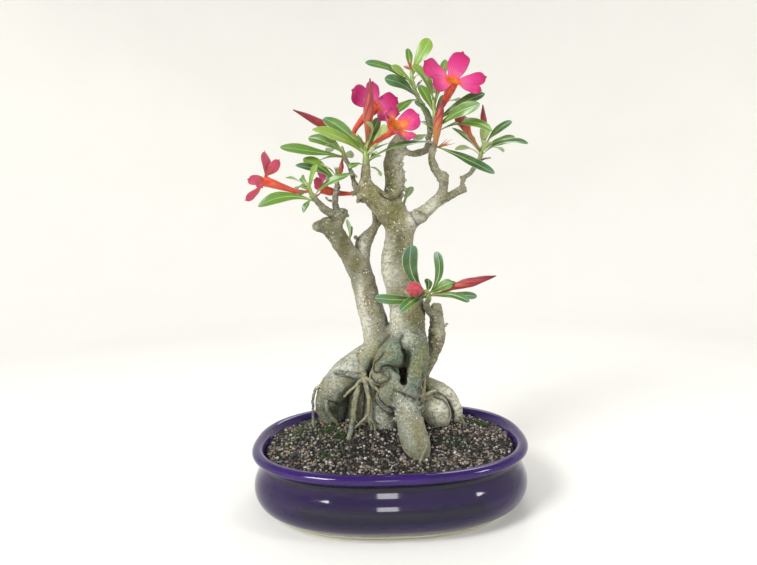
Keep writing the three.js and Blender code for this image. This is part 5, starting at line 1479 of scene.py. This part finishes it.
def makeLeafGreen():
    material, tree, shader, place = newMaterial(
        "leafGreen", Specular_IOR_Level=0.5, Coat_Weight=0.25, Coat_Roughness=0.25)
    along, across = pointValue(tree, "bladeAlong"), pointValue(tree, "bladeAcross")
    rib, under = pointValue(tree, "bladeRib"), pointValue(tree, "bladeUnder")
    tone, stem = pointValue(tree, "leafTone"), pointValue(tree, "stemShare")
    top = ramp(tree, tone, leaf["topTones"])
    cloudy = patchMask(tree, place, 9.0, 0.38, 0.66)
    top = over(tree, top, cloudy, 0.28, tint(108, 138, 52))
    side = veinMask(tree, along, across, 13.0, 3.2, 0.0)
    top = over(tree, top, side, 0.2, tint(134, 162, 78))
    blue = times(tree, eased(tree, along, 0.72, 1.0), eased(tree, tone, 0.7, 0.3))
    top = over(tree, top, blue, 0.5, tint(66, 110, 96))
    back = twoTone(tree, eased(tree, tone, 0.1, 0.9), leaf["underTones"])
    back = over(tree, back, side, 0.15, tint(100, 126, 70))
    colour = mixed(tree, under, top, back)
    ribWidth = between(tree, along, 0.75, 0.3)
    ribMask = eased(tree, calc(tree, "DIVIDE", rib, ribWidth), 1.3, 0.5)
    colour = over(tree, colour, ribMask, 0.5, tint(*leaf["rib"]))
    edge = eased(tree, calc(tree, "ABSOLUTE", across), 0.88, 0.98)
    colour = over(tree, colour, edge, 0.55, tint(*leaf["edge"]))
    foot = eased(tree, along, 0.16, 0.0)
    colour = over(tree, colour, foot, 0.6, tint(170, 190, 100))
    stemColour = twoTone(tree, eased(tree, stem, 1.05, 1.6), leaf["stemTones"])
    stemColour = mixed(tree, fleckMask(tree, place, 1.6, 0.3, 0.3), stemColour, tint(168, 160, 124))
    colour = mixed(tree, calc(tree, "GREATER_THAN", stem, 0.5), colour, stemColour)
    rough = plus(tree, between(tree, cloudy, 0.3, 0.42), times(tree, under, 0.22))
    relief = calc(tree, "SUBTRACT", grainHeight(tree, place, 0.5, 2.4, 0.4), times(tree, side, 0.35))
    dress(tree, shader, colour, rough, relief, 0.35, 0.35)
    return material


leafGreen = makeLeafGreen()


def makeShoot(name, shoot, seed):
    rng = np.random.default_rng((leaf["seed"], seed))
    shape = Shape("bladeAlong", "bladeAcross", "bladeRib", "bladeUnder", "leafTone", "stemShare")
    stem = shoot["stem"]
    axis = unit(np.array(stem[-1][:3], float) - np.array(stem[0][:3], float))
    path = smoothPath(stem, step=leaf["stemStep"])
    points, faces, share, _ = sweepTube(
        path, leaf["stemSides"],
        lambda s, a: 1 + 0.07 * np.sin(2 * a + 23 * s) + 0.06 * np.sin(3 * a - 37 * s + seed))
    shape.add(points, faces, stemShare=1 + share, bladeAlong=0.5, bladeRib=9.0)
    for base, tip, width, arch, roll, tone, *bow in shoot["leaves"]:
        blunt = shoot.get("blunt", 0.5)
        points, faces, values = leafBlade(base, tip, width, arch, roll, sum(bow), blunt, axis, rng)
        shape.add(points, faces, leafTone=np.clip(tone + rng.normal(0, 0.06), 0, 1), **values)
    makePiece(name.replace("leaves_", "shoot_"), shape, leafGreen, [name])


for number, (shootName, shootRows) in enumerate(shoots.items()):
    makeShoot(shootName, shootRows, number)
print("leaves made")

# blooms

petal = {
    "outline": [
        (0, 0.6), (0.1, 0.68), (0.26, 0.86), (0.44, 0.97), (0.6, 1.0), (0.74, 0.97), (0.85, 0.84),
        (0.91, 0.6), (0.94, 0.3), (0.965, 0.13), (1, 0.03)],
    "rows": 22,
    "columns": (-1, -0.9, -0.72, -0.5, -0.28, -0.1, 0, 0.1, 0.28, 0.5, 0.72, 0.9, 1),
    "thickness": 0.45,
    "sink": 0.9,
    "wave": 0.9,
    "tubeSides": 30,
    "tubeStep": 0.7,
    "throatSides": 40,
    "throatRows": 12,
    "threads": 5,
    "arch": -2.5,
    # share of the tube's length, step back, share of the radius, lean, length, radius, curl
    "sepals": (0.2, 1.2, 0.75, 0.24, 6.6, 1.1, 0.5),
    "seed": 21,
    # from deep in the throat, 0, through its mouth, 0.5, to the petal's tip, 1
    "faceTones": [
        (0.0, 206, 104, 10), (0.3, 226, 146, 22), (0.47, 216, 110, 26), (0.52, 212, 74, 44),
        (0.57, 200, 78, 122), (0.7, 184, 46, 114), (0.86, 174, 30, 98), (1.0, 134, 14, 64)],
    "edge": (134, 14, 60),
    "backTones": [(184, 74, 66), (190, 66, 100)],
    "skinTones": [(204, 86, 58), (190, 56, 48)],
    # along the tube
    "tubeTones": [
        (0.0, 124, 122, 62), (0.16, 166, 86, 56), (0.4, 174, 58, 42), (0.75, 182, 62, 42),
        (1.0, 194, 88, 56)],
}
blooms = {
    "bloom_top": {
        "tube": [(56, -9, 391, 1.3), (59, -13, 397.5, 2), (64, -20, 406, 3.2), (68, -28, 414, 5)],
        "mouth": (70, -34, 420.5), "facing": (0.15, -0.93, 0.33), "mouthRadius": 6.6, "star": 0.05,
        # turn round the mouth, length, width, flare from the way the mouth faces, roll
        "petals": [
            (144, 28, 19, 78, 0), (69, 32, 20, 82, 0), (6, 29, 14, 80, 0), (-29, 24, 10, 74, 0),
            (192, 18, 20, 70, 0)]},
    "bloom_middle": {
        "tube": [
            (-15.8, -11, 366.4, 1.2), (-21.5, -13, 370.6, 1.6), (-27, -15.4, 377.5, 2.2),
            (-20, -18, 388, 3.2), (-11.5, -20, 395.4, 4.8)],
        "mouth": (-3, -24, 401.5), "facing": (0.42, -0.8, 0.42), "mouthRadius": 6.2,
        "petals": [
            (163, 26, 19, 74, -34), (84, 24, 15, 78, 0), (22, 26, 20, 78, 0), (-24, 20, 15, 70, 0),
            (-72, 19, 18, 66, 0)]},
    "bloom_centre": {
        "tube": [
            (-14.4, -12, 362.5, 1.2), (-9, -16.5, 365.6, 1.8), (-3, -20.5, 369.2, 2.8), (7, -29, 374.4, 4.6)],
        "mouth": (14, -35.6, 379.6), "facing": (0.66, -0.62, 0.42), "mouthRadius": 8.8, "star": 0.42,
        "petals": [
            (84, 13, 13, 50, 0), (14, 23, 21, 46, 0), (-52, 16, 15, 46, 0), (-122, 12, 12, 44, 0),
            (158, 11, 12, 44, 0)]},
    "bloom_left": {
        "tube": [(-74.6, -9.6, 322, 1.3), (-84, -12, 321.5, 2), (-96, -14, 325, 3), (-109, -16, 329.6, 4.4)],
        "mouth": (-119, -18, 333), "facing": (-0.9, -0.3, 0.25), "mouthRadius": 5.8,
        "petals": [
            (92, 25, 15, 72, -40), (80, 22, 11, 112, -60), (-12, 18, 10, 24, 0), (-74, 25, 9, 52, 34),
            (186, 17, 13, 60, -30)]},
    "bloom_back_left": {
        "tube": [(-24.5, 10, 322.5, 1.3), (-32, 16, 321.5, 1.8), (-46, 21, 322.5, 3), (-57, 21, 325, 4.6)],
        "mouth": (-65, 20.5, 328), "facing": (-0.93, -0.15, 0.33), "mouthRadius": 5.6,
        "petals": [
            (90, 16, 12, 46, 30), (18, 15, 11, 36, 0), (-54, 15, 12, 40, -30), (-126, 14, 10, 36, 0),
            (162, 15, 11, 42, 0)]},
}


def makePetalPink():
    material, tree, shader, place = newMaterial(
        "petalPink", Specular_IOR_Level=0.3, Sheen_Weight=0.15, Sheen_Roughness=0.4)
    along, across = pointValue(tree, "bladeAlong"), pointValue(tree, "bladeAcross")
    outside, under = pointValue(tree, "throatOut"), pointValue(tree, "bladeUnder")
    star = pointValue(tree, "petalStar")
    away = calc(tree, "ABSOLUTE", across)
    reach = calc(tree, "SUBTRACT", along, times(tree, star, eased(tree, away, 0.7, 0.1, 0.3, 1.0)))
    colour = ramp(tree, times(tree, plus(tree, reach, 1.0), 0.5), petal["faceTones"])
    patchy = patchMask(tree, place, 7.0, 0.42, 0.64)
    colour = over(tree, colour, patchy, 0.3, tint(168, 18, 90))
    edge = times(tree, eased(tree, away, 0.86, 1.0), eased(tree, along, 0.05, 0.3))
    colour = over(tree, colour, edge, 0.6, tint(*petal["edge"]))
    lines = veinMask(tree, along, across, 0.4, 0.0, 5.0)
    streak = times(tree, lines, times(tree, eased(tree, along, 0.75, 0.2), eased(tree, along, 0.0, 0.12)))
    colour = over(tree, colour, streak, 0.45, tint(232, 138, 178))
    back = twoTone(tree, eased(tree, along, 0.0, 0.8), petal["backTones"])
    back = over(tree, back, lines, 0.4, tint(222, 132, 140))
    colour = mixed(tree, under, colour, back)
    skin = twoTone(tree, patchy, petal["skinTones"])
    colour = mixed(tree, outside, colour, skin)
    tipMask = eased(tree, along, 0.965, 1.0)
    colour = over(tree, colour, tipMask, 0.8, tint(90, 40, 40))
    relief = plus(tree, grainHeight(tree, place, 0.4, 2.0, 0.4), times(tree, lines, 0.3))
    dress(tree, shader, colour, between(tree, patchy, 0.42, 0.58), relief, 0.35, 0.3)
    return material


def makeTubeRed():
    material, tree, shader, place = newMaterial(
        "tubeRed", Specular_IOR_Level=0.35, Sheen_Weight=0.2, Sheen_Roughness=0.4)
    along, turn = pointValue(tree, "bladeAlong"), pointValue(tree, "bladeAcross")
    sepal = pointValue(tree, "sepal")
    colour = ramp(tree, along, petal["tubeTones"])
    patchy = patchMask(tree, place, 6.0, 0.42, 0.64)
    colour = over(tree, colour, patchy, 0.5, tint(166, 40, 40))
    lines = veinMask(tree, along, turn, 0.5, 0.0, 10.0)
    colour = over(tree, colour, lines, 0.4, tint(224, 128, 96))
    green = mixed(tree, eased(tree, along, 0.2, 1.0), tint(112, 118, 54), tint(150, 66, 54))
    colour = mixed(tree, sepal, colour, green)
    relief = plus(tree, grainHeight(tree, place, 0.4, 1.6, 0.5), times(tree, lines, 0.5))
    dress(tree, shader, colour, between(tree, patchy, 0.42, 0.55), relief, 0.4, 0.3)
    return material


petalPink, tubeRed = makePetalPink(), makeTubeRed()


def spike(start, way, length, radius, lean):  # a small pointed sepal or thread
    rows = [(*(start + way * length * s + np.array(lean) * s * s), max(0.08, radius * (1 - s) ** 0.7))
            for s in (0, 0.35, 0.7, 1)]
    return sweepTube(smoothPath(rows, count=8), 6, dome=0.2)


def sepalRing(path, form, seed):  # five sepals round the foot of a tube or bud
    where, back, inset, lean, length, radius, curl = form
    along, across, lift = tubeFrames(path[:, :3])
    mark = int(len(path) * where)
    for number in range(5):
        turn = 2 * math.pi * number / 5 + seed
        spoke = across[mark] * math.cos(turn) + lift[mark] * math.sin(turn)
        start = path[mark, :3] - along[mark] * back + spoke * path[mark, 3] * inset
        yield spike(start, unit(along[mark] + spoke * lean), length, radius, spoke * curl)[:3]


def petalBlade(mouth, axes, radius, row, rng):
    turn, length, width, flare, roll = row
    axis, right, up, rimAxis, rimRight, rimUp = axes
    angle, lean = math.radians(turn), math.radians(flare)
    outward = right * math.cos(angle) + up * math.sin(angle)
    start = mouth - rimAxis * petal["sink"]
    inner = radius - petal["sink"]
    base = start + (rimRight * math.cos(angle) + rimUp * math.sin(angle)) * inner
    tip = base + outward * math.sin(lean) * length + axis * math.cos(lean) * length
    way, face = bladeFrame(base, tip, axis, roll)
    u, v = np.linspace(0, 1, petal["rows"]), np.array(petal["columns"])
    outline = np.array(petal["outline"])
    half = np.maximum(through(outline[:, 0], outline[:, 1], u), 0.02) * width / 2
    skew = rng.normal(0, 0.06) * width * smoothStep(u, 0.3, 1)
    out = half[:, None] * v[None] + skew[:, None]
    side = np.cross(way, face)
    sag = 4 * u * (1 - u) * petal["arch"]
    crown = -0.06 * out**2 / np.maximum(half, 2)[:, None] * smoothStep(u, 0.2, 0.8)[:, None]
    phase = 2 * math.pi * (1.3 * u[:, None] + rng.uniform())
    ripple = np.sin(phase + 1.2 * np.sign(v)[None] + rng.uniform(0, 3))
    lift = sag[:, None] + crown + petal["wave"] * ripple * v[None] ** 2 * smoothStep(u, 0.15, 0.6)[:, None]
    lift = lift - 0.35 * np.exp(-(out / 0.9) ** 2) * smoothStep(u, 0.1, 0.3)[:, None]
    curl = -1.6 * smoothStep(u, 0.72, 1.0) ** 2
    rise = face * (lift + curl[:, None])[..., None]
    flat = base + way * (length * u)[:, None, None] + side * out[..., None] + rise
    # near the mouth the blade wraps round the throat's rim
    spread = angle - out / inner * 0.92
    rim = start + (rimRight * np.cos(spread)[..., None] + rimUp * np.sin(spread)[..., None]) * inner
    wrapped = rim + way * (length * u)[:, None, None] + face * sag[:, None, None]
    share = smoothStep(u, 0.0, 0.42)[:, None, None]
    grid = wrapped * (1 - share) + flat * share
    alongU = np.gradient(grid, axis=0)
    alongV = np.gradient(grid, axis=1)
    normal = np.cross(alongV, alongU)
    normal /= np.maximum(np.linalg.norm(normal, axis=2), 1e-9)[..., None]
    thick = petal["thickness"] * (0.35 + 0.65 * (1 - v[None] ** 4)) * np.ones_like(u)[:, None]
    upper = grid + normal * (thick / 2)[..., None]
    lower = grid - normal * (thick / 2)[..., None]
    return bladeSkins(u, v, upper, lower)


def throatShape(shape, low, mouth, lowRadius, radius, rimRight, rimUp, phase):
    sides, rows = petal["throatSides"], petal["throatRows"]
    angle = np.linspace(0, 2 * math.pi, sides, endpoint=False)
    lobes = 1 + 0.05 * np.cos(5 * (angle - phase))
    spokes = np.cos(angle)[:, None] * rimRight + np.sin(angle)[:, None] * rimUp
    outer = [(s, lowRadius + (radius - lowRadius) * max(s, 0) ** 1.2, 1.0, -1.0)
             for s in np.linspace(-0.04, 0.985, rows)]
    lip = [(1.0, radius - 0.22, 0.5, 0.0)]
    inner = [(s, lowRadius - 0.7 + (radius - lowRadius + 0.15) * s**1.2, 0.0, s - 1)
             for s in np.linspace(0.985, 0.12, rows)]
    levels = outer + lip + inner
    rings, outs, alongs = [], [], []
    for s, reach, out, along in levels:
        swell = 1 + (lobes - 1) * s
        rings.append(low + (mouth - low) * s + spokes * (reach * swell)[:, None])
        outs += [out] * sides
        alongs += [along] * sides
    points = np.vstack(rings + [[low + (mouth - low) * -0.04], [low + (mouth - low) * 0.1]])
    faces = ringFaces(len(levels), sides) + fanFaces(len(levels), sides, len(points) - 2, len(points) - 1)
    shape.add(points, faces, bladeAlong=alongs + [-1.0, -1.0], throatOut=outs + [1.0, 0.0])


def makeBloom(name, bloom, seed):
    rng = np.random.default_rng((petal["seed"], seed))
    mouth, axis = np.array(bloom["mouth"], float), unit(np.array(bloom["facing"], float))
    right = unit(np.cross((0, 0, 1.0), axis))
    up = np.cross(axis, right)
    last = np.array(bloom["tube"][-1], float)
    rimAxis = unit(mouth - last[:3])
    rimRight = unit(np.cross((0, 0, 1.0), rimAxis))
    rimUp = np.cross(rimAxis, rimRight)
    radius = bloom["mouthRadius"]
    shape = Shape("bladeAlong", "bladeAcross", "bladeUnder", "throatOut", "petalStar")
    phase = math.radians(bloom["petals"][0][0])
    throatShape(shape, last[:3], mouth, last[3], radius, rimRight, rimUp, phase)
    axes = (axis, right, up, rimAxis, rimRight, rimUp)
    for row in bloom["petals"]:
        points, faces, values = petalBlade(mouth, axes, radius, row, rng)
        shape.add(points, faces, petalStar=bloom.get("star", 0.06), **values)
    for thread in range(petal["threads"]):
        turn = 2 * math.pi * thread / petal["threads"] + 0.4
        spoke = rimRight * math.cos(turn) + rimUp * math.sin(turn)
        start = last[:3] + (mouth - last[:3]) * 0.2 + spoke * 1.6
        reach = np.linalg.norm(mouth - last[:3])
        points, faces, _, _ = spike(start, rimAxis, reach, 0.7, spoke * 1.2)
        shape.add(points, faces, bladeAlong=-0.35)
    makePiece(name + "_flower", shape, petalPink, [name + "_petals"])

    tube = Shape("bladeAlong", "bladeAcross", "sepal")
    path = smoothPath(bloom["tube"], step=petal["tubeStep"])
    points, faces, share, angles = sweepTube(
        path, petal["tubeSides"], lambda s, a: 1 + 0.05 * np.cos(5 * a + 2 * s) * s, dome=0.1)
    tube.add(points, faces, bladeAlong=share, bladeAcross=angles / (2 * math.pi))
    for points, faces, share in sepalRing(path, petal["sepals"], seed):
        tube.add(points, faces, bladeAlong=share, sepal=1.0)
    makePiece(name + "_tubePiece", tube, tubeRed, [name + "_tube"])


for number, (bloomName, bloomRows) in enumerate(blooms.items()):
    makeBloom(bloomName, bloomRows, number)
print("blooms made")

# buds, whose petals are wound like a screw

bud = {
    "sides": 50,
    "step": 0.55,
    "turns": 0.75,
    "sepals": (0.3, 1.6, 0.7, 0.3, 5.2, 1.0, 0.2),  # as on the blooms
    # from the stalk, 0, to the tip, 1
    "youngTones": [
        (0.0, 100, 118, 48), (0.2, 154, 116, 58), (0.5, 178, 104, 60), (0.7, 154, 52, 44),
        (0.88, 126, 28, 40), (1.0, 78, 18, 28)],
    "grownTones": [
        (0.0, 108, 112, 52), (0.2, 152, 74, 50), (0.45, 148, 42, 44), (0.75, 134, 32, 48),
        (0.92, 108, 22, 38), (1.0, 60, 16, 24)],
}
buds = {  # ripeness, ridge, then x, y, z, radius
    "bud_left": (0.8, 0.13, [
        (-16.4, -8, 363, 1.2), (-24, 0, 370, 1.6), (-36, 8, 379, 2.4), (-50, 9, 387, 3.6), (-60, 6, 392, 4.4),
        (-73, 0, 398, 3.2), (-88, -6, 404.5, 0.5)]),
    "bud_middle": (0.5, 0.13, [
        (-14.8, -11.6, 367, 1.1), (-14, -22, 370, 1.7), (-13, -33, 376, 2.8), (-12.2, -38, 387, 4.5),
        (-11, -41, 398, 4.4), (-9.9, -43, 409, 2.8), (-9.3, -45, 421, 0.5)]),
    "bud_right": (0.15, 0.13, [
        (55, -10, 362.5, 1.2), (54.6, -15, 366, 2), (55.2, -18, 376, 3.8), (57, -20, 388, 4.4),
        (59, -22, 397, 3.2), (60.5, -24, 406, 0.5)]),
    "bud_far_right": (0.25, 0.13, [
        (102.6, 4.4, 360.5, 1.1), (97, -1, 366, 1.6), (90, -6, 375, 2.4), (84.5, -11, 383, 5),
        (79.5, -14, 389, 5.6), (75, -16, 394, 3), (73.5, -17, 396.5, 0.8)]),
    "bud_upper_right": (0.8, 0.13, [
        (105.8, 6.6, 364.5, 1.1), (108, 11.4, 371, 1.7), (108, 11, 383, 2.8), (107.4, 10, 394, 3.2),
        (106.8, 9, 408, 0.5)]),
    "bud_trunk_spray": (0.75, 0.13, [
        (44, -21.4, 214, 1.1), (52, -24, 215.5, 1.3), (61, -25.5, 219, 1.6), (69, -27, 222.6, 3.4),
        (82, -31, 226, 4.6), (95, -34.5, 229.4, 3.2), (107.5, -38, 232.5, 0.5)]),
    "bud_trunk_front": (1.3, 0.42, [
        (41.5, -23, 215.6, 1.1), (37, -30, 217.5, 1.8), (31.5, -38, 220, 4.2), (27.5, -46, 222, 6.4),
        (25, -51, 222.6, 5.4), (23.5, -54, 223, 1)]),
    "bud_small_left": (0.5, 0.13, [
        (-46.4, 8.6, 337.5, 1), (-44, 5, 341, 1.5), (-42, 3.6, 347, 2.5), (-40.6, 3, 356, 0.6)]),
}


def makeBudRed():
    material, tree, shader, place = newMaterial(
        "budRed", Specular_IOR_Level=0.4, Sheen_Weight=0.2, Sheen_Roughness=0.4)
    along, ridge = pointValue(tree, "bladeAlong"), pointValue(tree, "budRidge")
    ripe = pointValue(tree, "budRipe")
    young, grown = ramp(tree, along, bud["youngTones"]), ramp(tree, along, bud["grownTones"])
    colour = mixed(tree, ripe, young, grown)
    colour = mixed(tree, eased(tree, ripe, 1.1, 1.3, 0.0, 0.8), colour, tint(182, 66, 80))
    patchy = patchMask(tree, place, 5.0, 0.42, 0.62)
    colour = over(tree, colour, patchy, 0.3, tint(170, 66, 70))
    colour = over(tree, colour, ridge, 0.7, tint(96, 14, 34))
    rough = between(tree, patchy, 0.36, 0.5)
    dress(tree, shader, colour, rough, grainHeight(tree, place, 0.35, 1.6, 0.5), 0.3, 0.25)
    return material


budRed = makeBudRed()


def makeBud(name, ripe, height, rows, seed):
    def wound(share, angle):
        phase = (5 * angle / (2 * math.pi) - 5 * bud["turns"] * share) % 1.0
        full = smoothStep(share, 0.3, 0.5)
        return 1 + height * (phase**1.5 - 0.4) * full + 0.03 * np.sin(3 * angle + seed) * (1 - full)

    shape = Shape("bladeAlong", "budRidge", "budRipe")
    path = smoothPath(rows, step=bud["step"])
    points, faces, share, angles = sweepTube(path, bud["sides"], wound, dome=0.8)
    phase = (5 * angles / (2 * math.pi) - 5 * bud["turns"] * share) % 1.0
    ridge = (smoothStep(phase, 0.8, 0.95) + smoothStep(phase, 0.12, 0.0)) * smoothStep(share, 0.3, 0.5)
    shape.add(points, faces, bladeAlong=share, budRidge=ridge, budRipe=ripe)
    for points, faces, share in sepalRing(path, bud["sepals"], seed):
        shape.add(points, faces, bladeAlong=0.1 + 0.2 * share, budRipe=ripe * 0.4)
    makePiece(name + "_piece", shape, budRed, [name])


for number, (budName, (budRipeness, budRidge, budRows)) in enumerate(buds.items()):
    makeBud(budName, budRipeness, budRidge, budRows, number)


tufts = {
    # place, way, length, count, spread, ripeness
    "rows": [
        ((33, 8.5, 446), (-0.45, -0.4, 0.9), 12.0, 22, 0.75, 0.1),
        ((57.5, -11.4, 362.4), (0.9, -0.3, 0.3), 17.0, 9, 0.26, 0.2),
        ((-13, -11.5, 370), (0.3, -0.3, 1), 6.0, 7, 0.5, 0.2),
        ((106, 5, 367), (0.3, -0.6, 0.9), 7.0, 7, 0.45, 0.5)],
    "seed": 8,
}


def makeTufts():  # bristly shoot tips and the dry cup of a fallen bloom
    rng = np.random.default_rng(tufts["seed"])
    shape = Shape("bladeAlong", "budRidge", "budRipe")
    for place, way, length, count, spread, ripe in tufts["rows"]:
        for _ in range(count):
            lean = unit(unit(np.array(way, float)) + rng.normal(0, spread, 3) * 0.7)
            tall = length * rng.uniform(0.55, 1)
            points, faces, share, _ = spike(np.array(place, float), lean, tall, 0.75, (0, 0, 0.6))
            shape.add(points, faces, bladeAlong=0.14 + 0.42 * share, budRipe=ripe)
    makePiece("shootTips", shape, budRed)


makeTufts()
print("buds made")

# floor and light

studio = {
    "sides": 96,
    "inner": (0.3, 0.7),
    "flat": 1.25,
    "curve": 0.75,
    "curveRows": 14,
    "rise": 0.8,
    "colour": (238, 237, 233),
    "world": (255, 254, 252),
    "worldStrength": 0.5,
    # place and aim in metres, width, height, watts
    "lamps": [
        ((-1.1, -1.15, 1.4), (0, 0, 0.22), 0.6, 0.7, 34.0),
        ((1.25, -0.75, 0.95), (0, 0, 0.2), 0.3, 0.36, 6.5),
        ((-0.03, -1.7, 0.72), (0, 0, 0.1), 0.2, 0.3, 2.2), ((0.3, 1.2, 1.4), (0, 0, 0.3), 0.8, 0.6, 7.0)],
}


def makeFloor():
    sides = studio["sides"]
    rows = [(reach, 0) for reach in (*studio["inner"], studio["flat"])]
    rows += [(studio["flat"] + studio["curve"] * math.sin(a), studio["curve"] * (1 - math.cos(a)))
             for a in np.linspace(0.1, math.pi / 2, studio["curveRows"])]
    rows.append((rows[-1][0], rows[-1][1] + studio["rise"]))
    points = [(r * math.cos(a), r * math.sin(a), z) for r, z in rows
              for a in np.linspace(0, 2 * math.pi, sides, endpoint=False)]
    points.append((0, 0, 0))
    faces = [tuple(reversed(face)) for face in ringFaces(len(rows), sides)]
    faces += [(len(points) - 1, side, (side + 1) % sides) for side in range(sides)]
    mesh = bpy.data.meshes.new("paleFloor")
    mesh.from_pydata(points, [], faces)
    mesh.polygons.foreach_set("use_smooth", [True] * len(mesh.polygons))
    material, tree, shader, place = newMaterial("paleFloor", Roughness=0.9, Specular_IOR_Level=0.1)
    faint = patchMask(tree, place, 260.0, 0.3, 0.7)
    pale = tint(*studio["colour"])
    dimmed = tuple(0.985 * part for part in pale[:3]) + (1.0,)
    join(tree, mixed(tree, faint, pale, dimmed), shader.inputs["Base Color"])
    mesh.materials.append(material)
    floor = bpy.data.objects.new("paleFloor", mesh)
    scene.collection.objects.link(floor)


def makeLights():
    world = bpy.data.worlds.new("studio")
    world.use_nodes = True
    back = world.node_tree.nodes["Background"]
    back.inputs["Color"].default_value = tint(*studio["world"])
    back.inputs["Strength"].default_value = studio["worldStrength"]
    scene.world = world
    for number, (place, aim, width, height, power) in enumerate(studio["lamps"]):
        data = bpy.data.lights.new("softbox%d" % number, "AREA")
        data.shape = "RECTANGLE"
        data.size, data.size_y, data.energy = width, height, power
        lamp = bpy.data.objects.new(data.name, data)
        lamp.location = place
        lamp.rotation_euler = (Vector(aim) - Vector(place)).to_track_quat("-Z", "Y").to_euler()
        scene.collection.objects.link(lamp)


makeFloor()
makeLights()
print("floor and lights set")
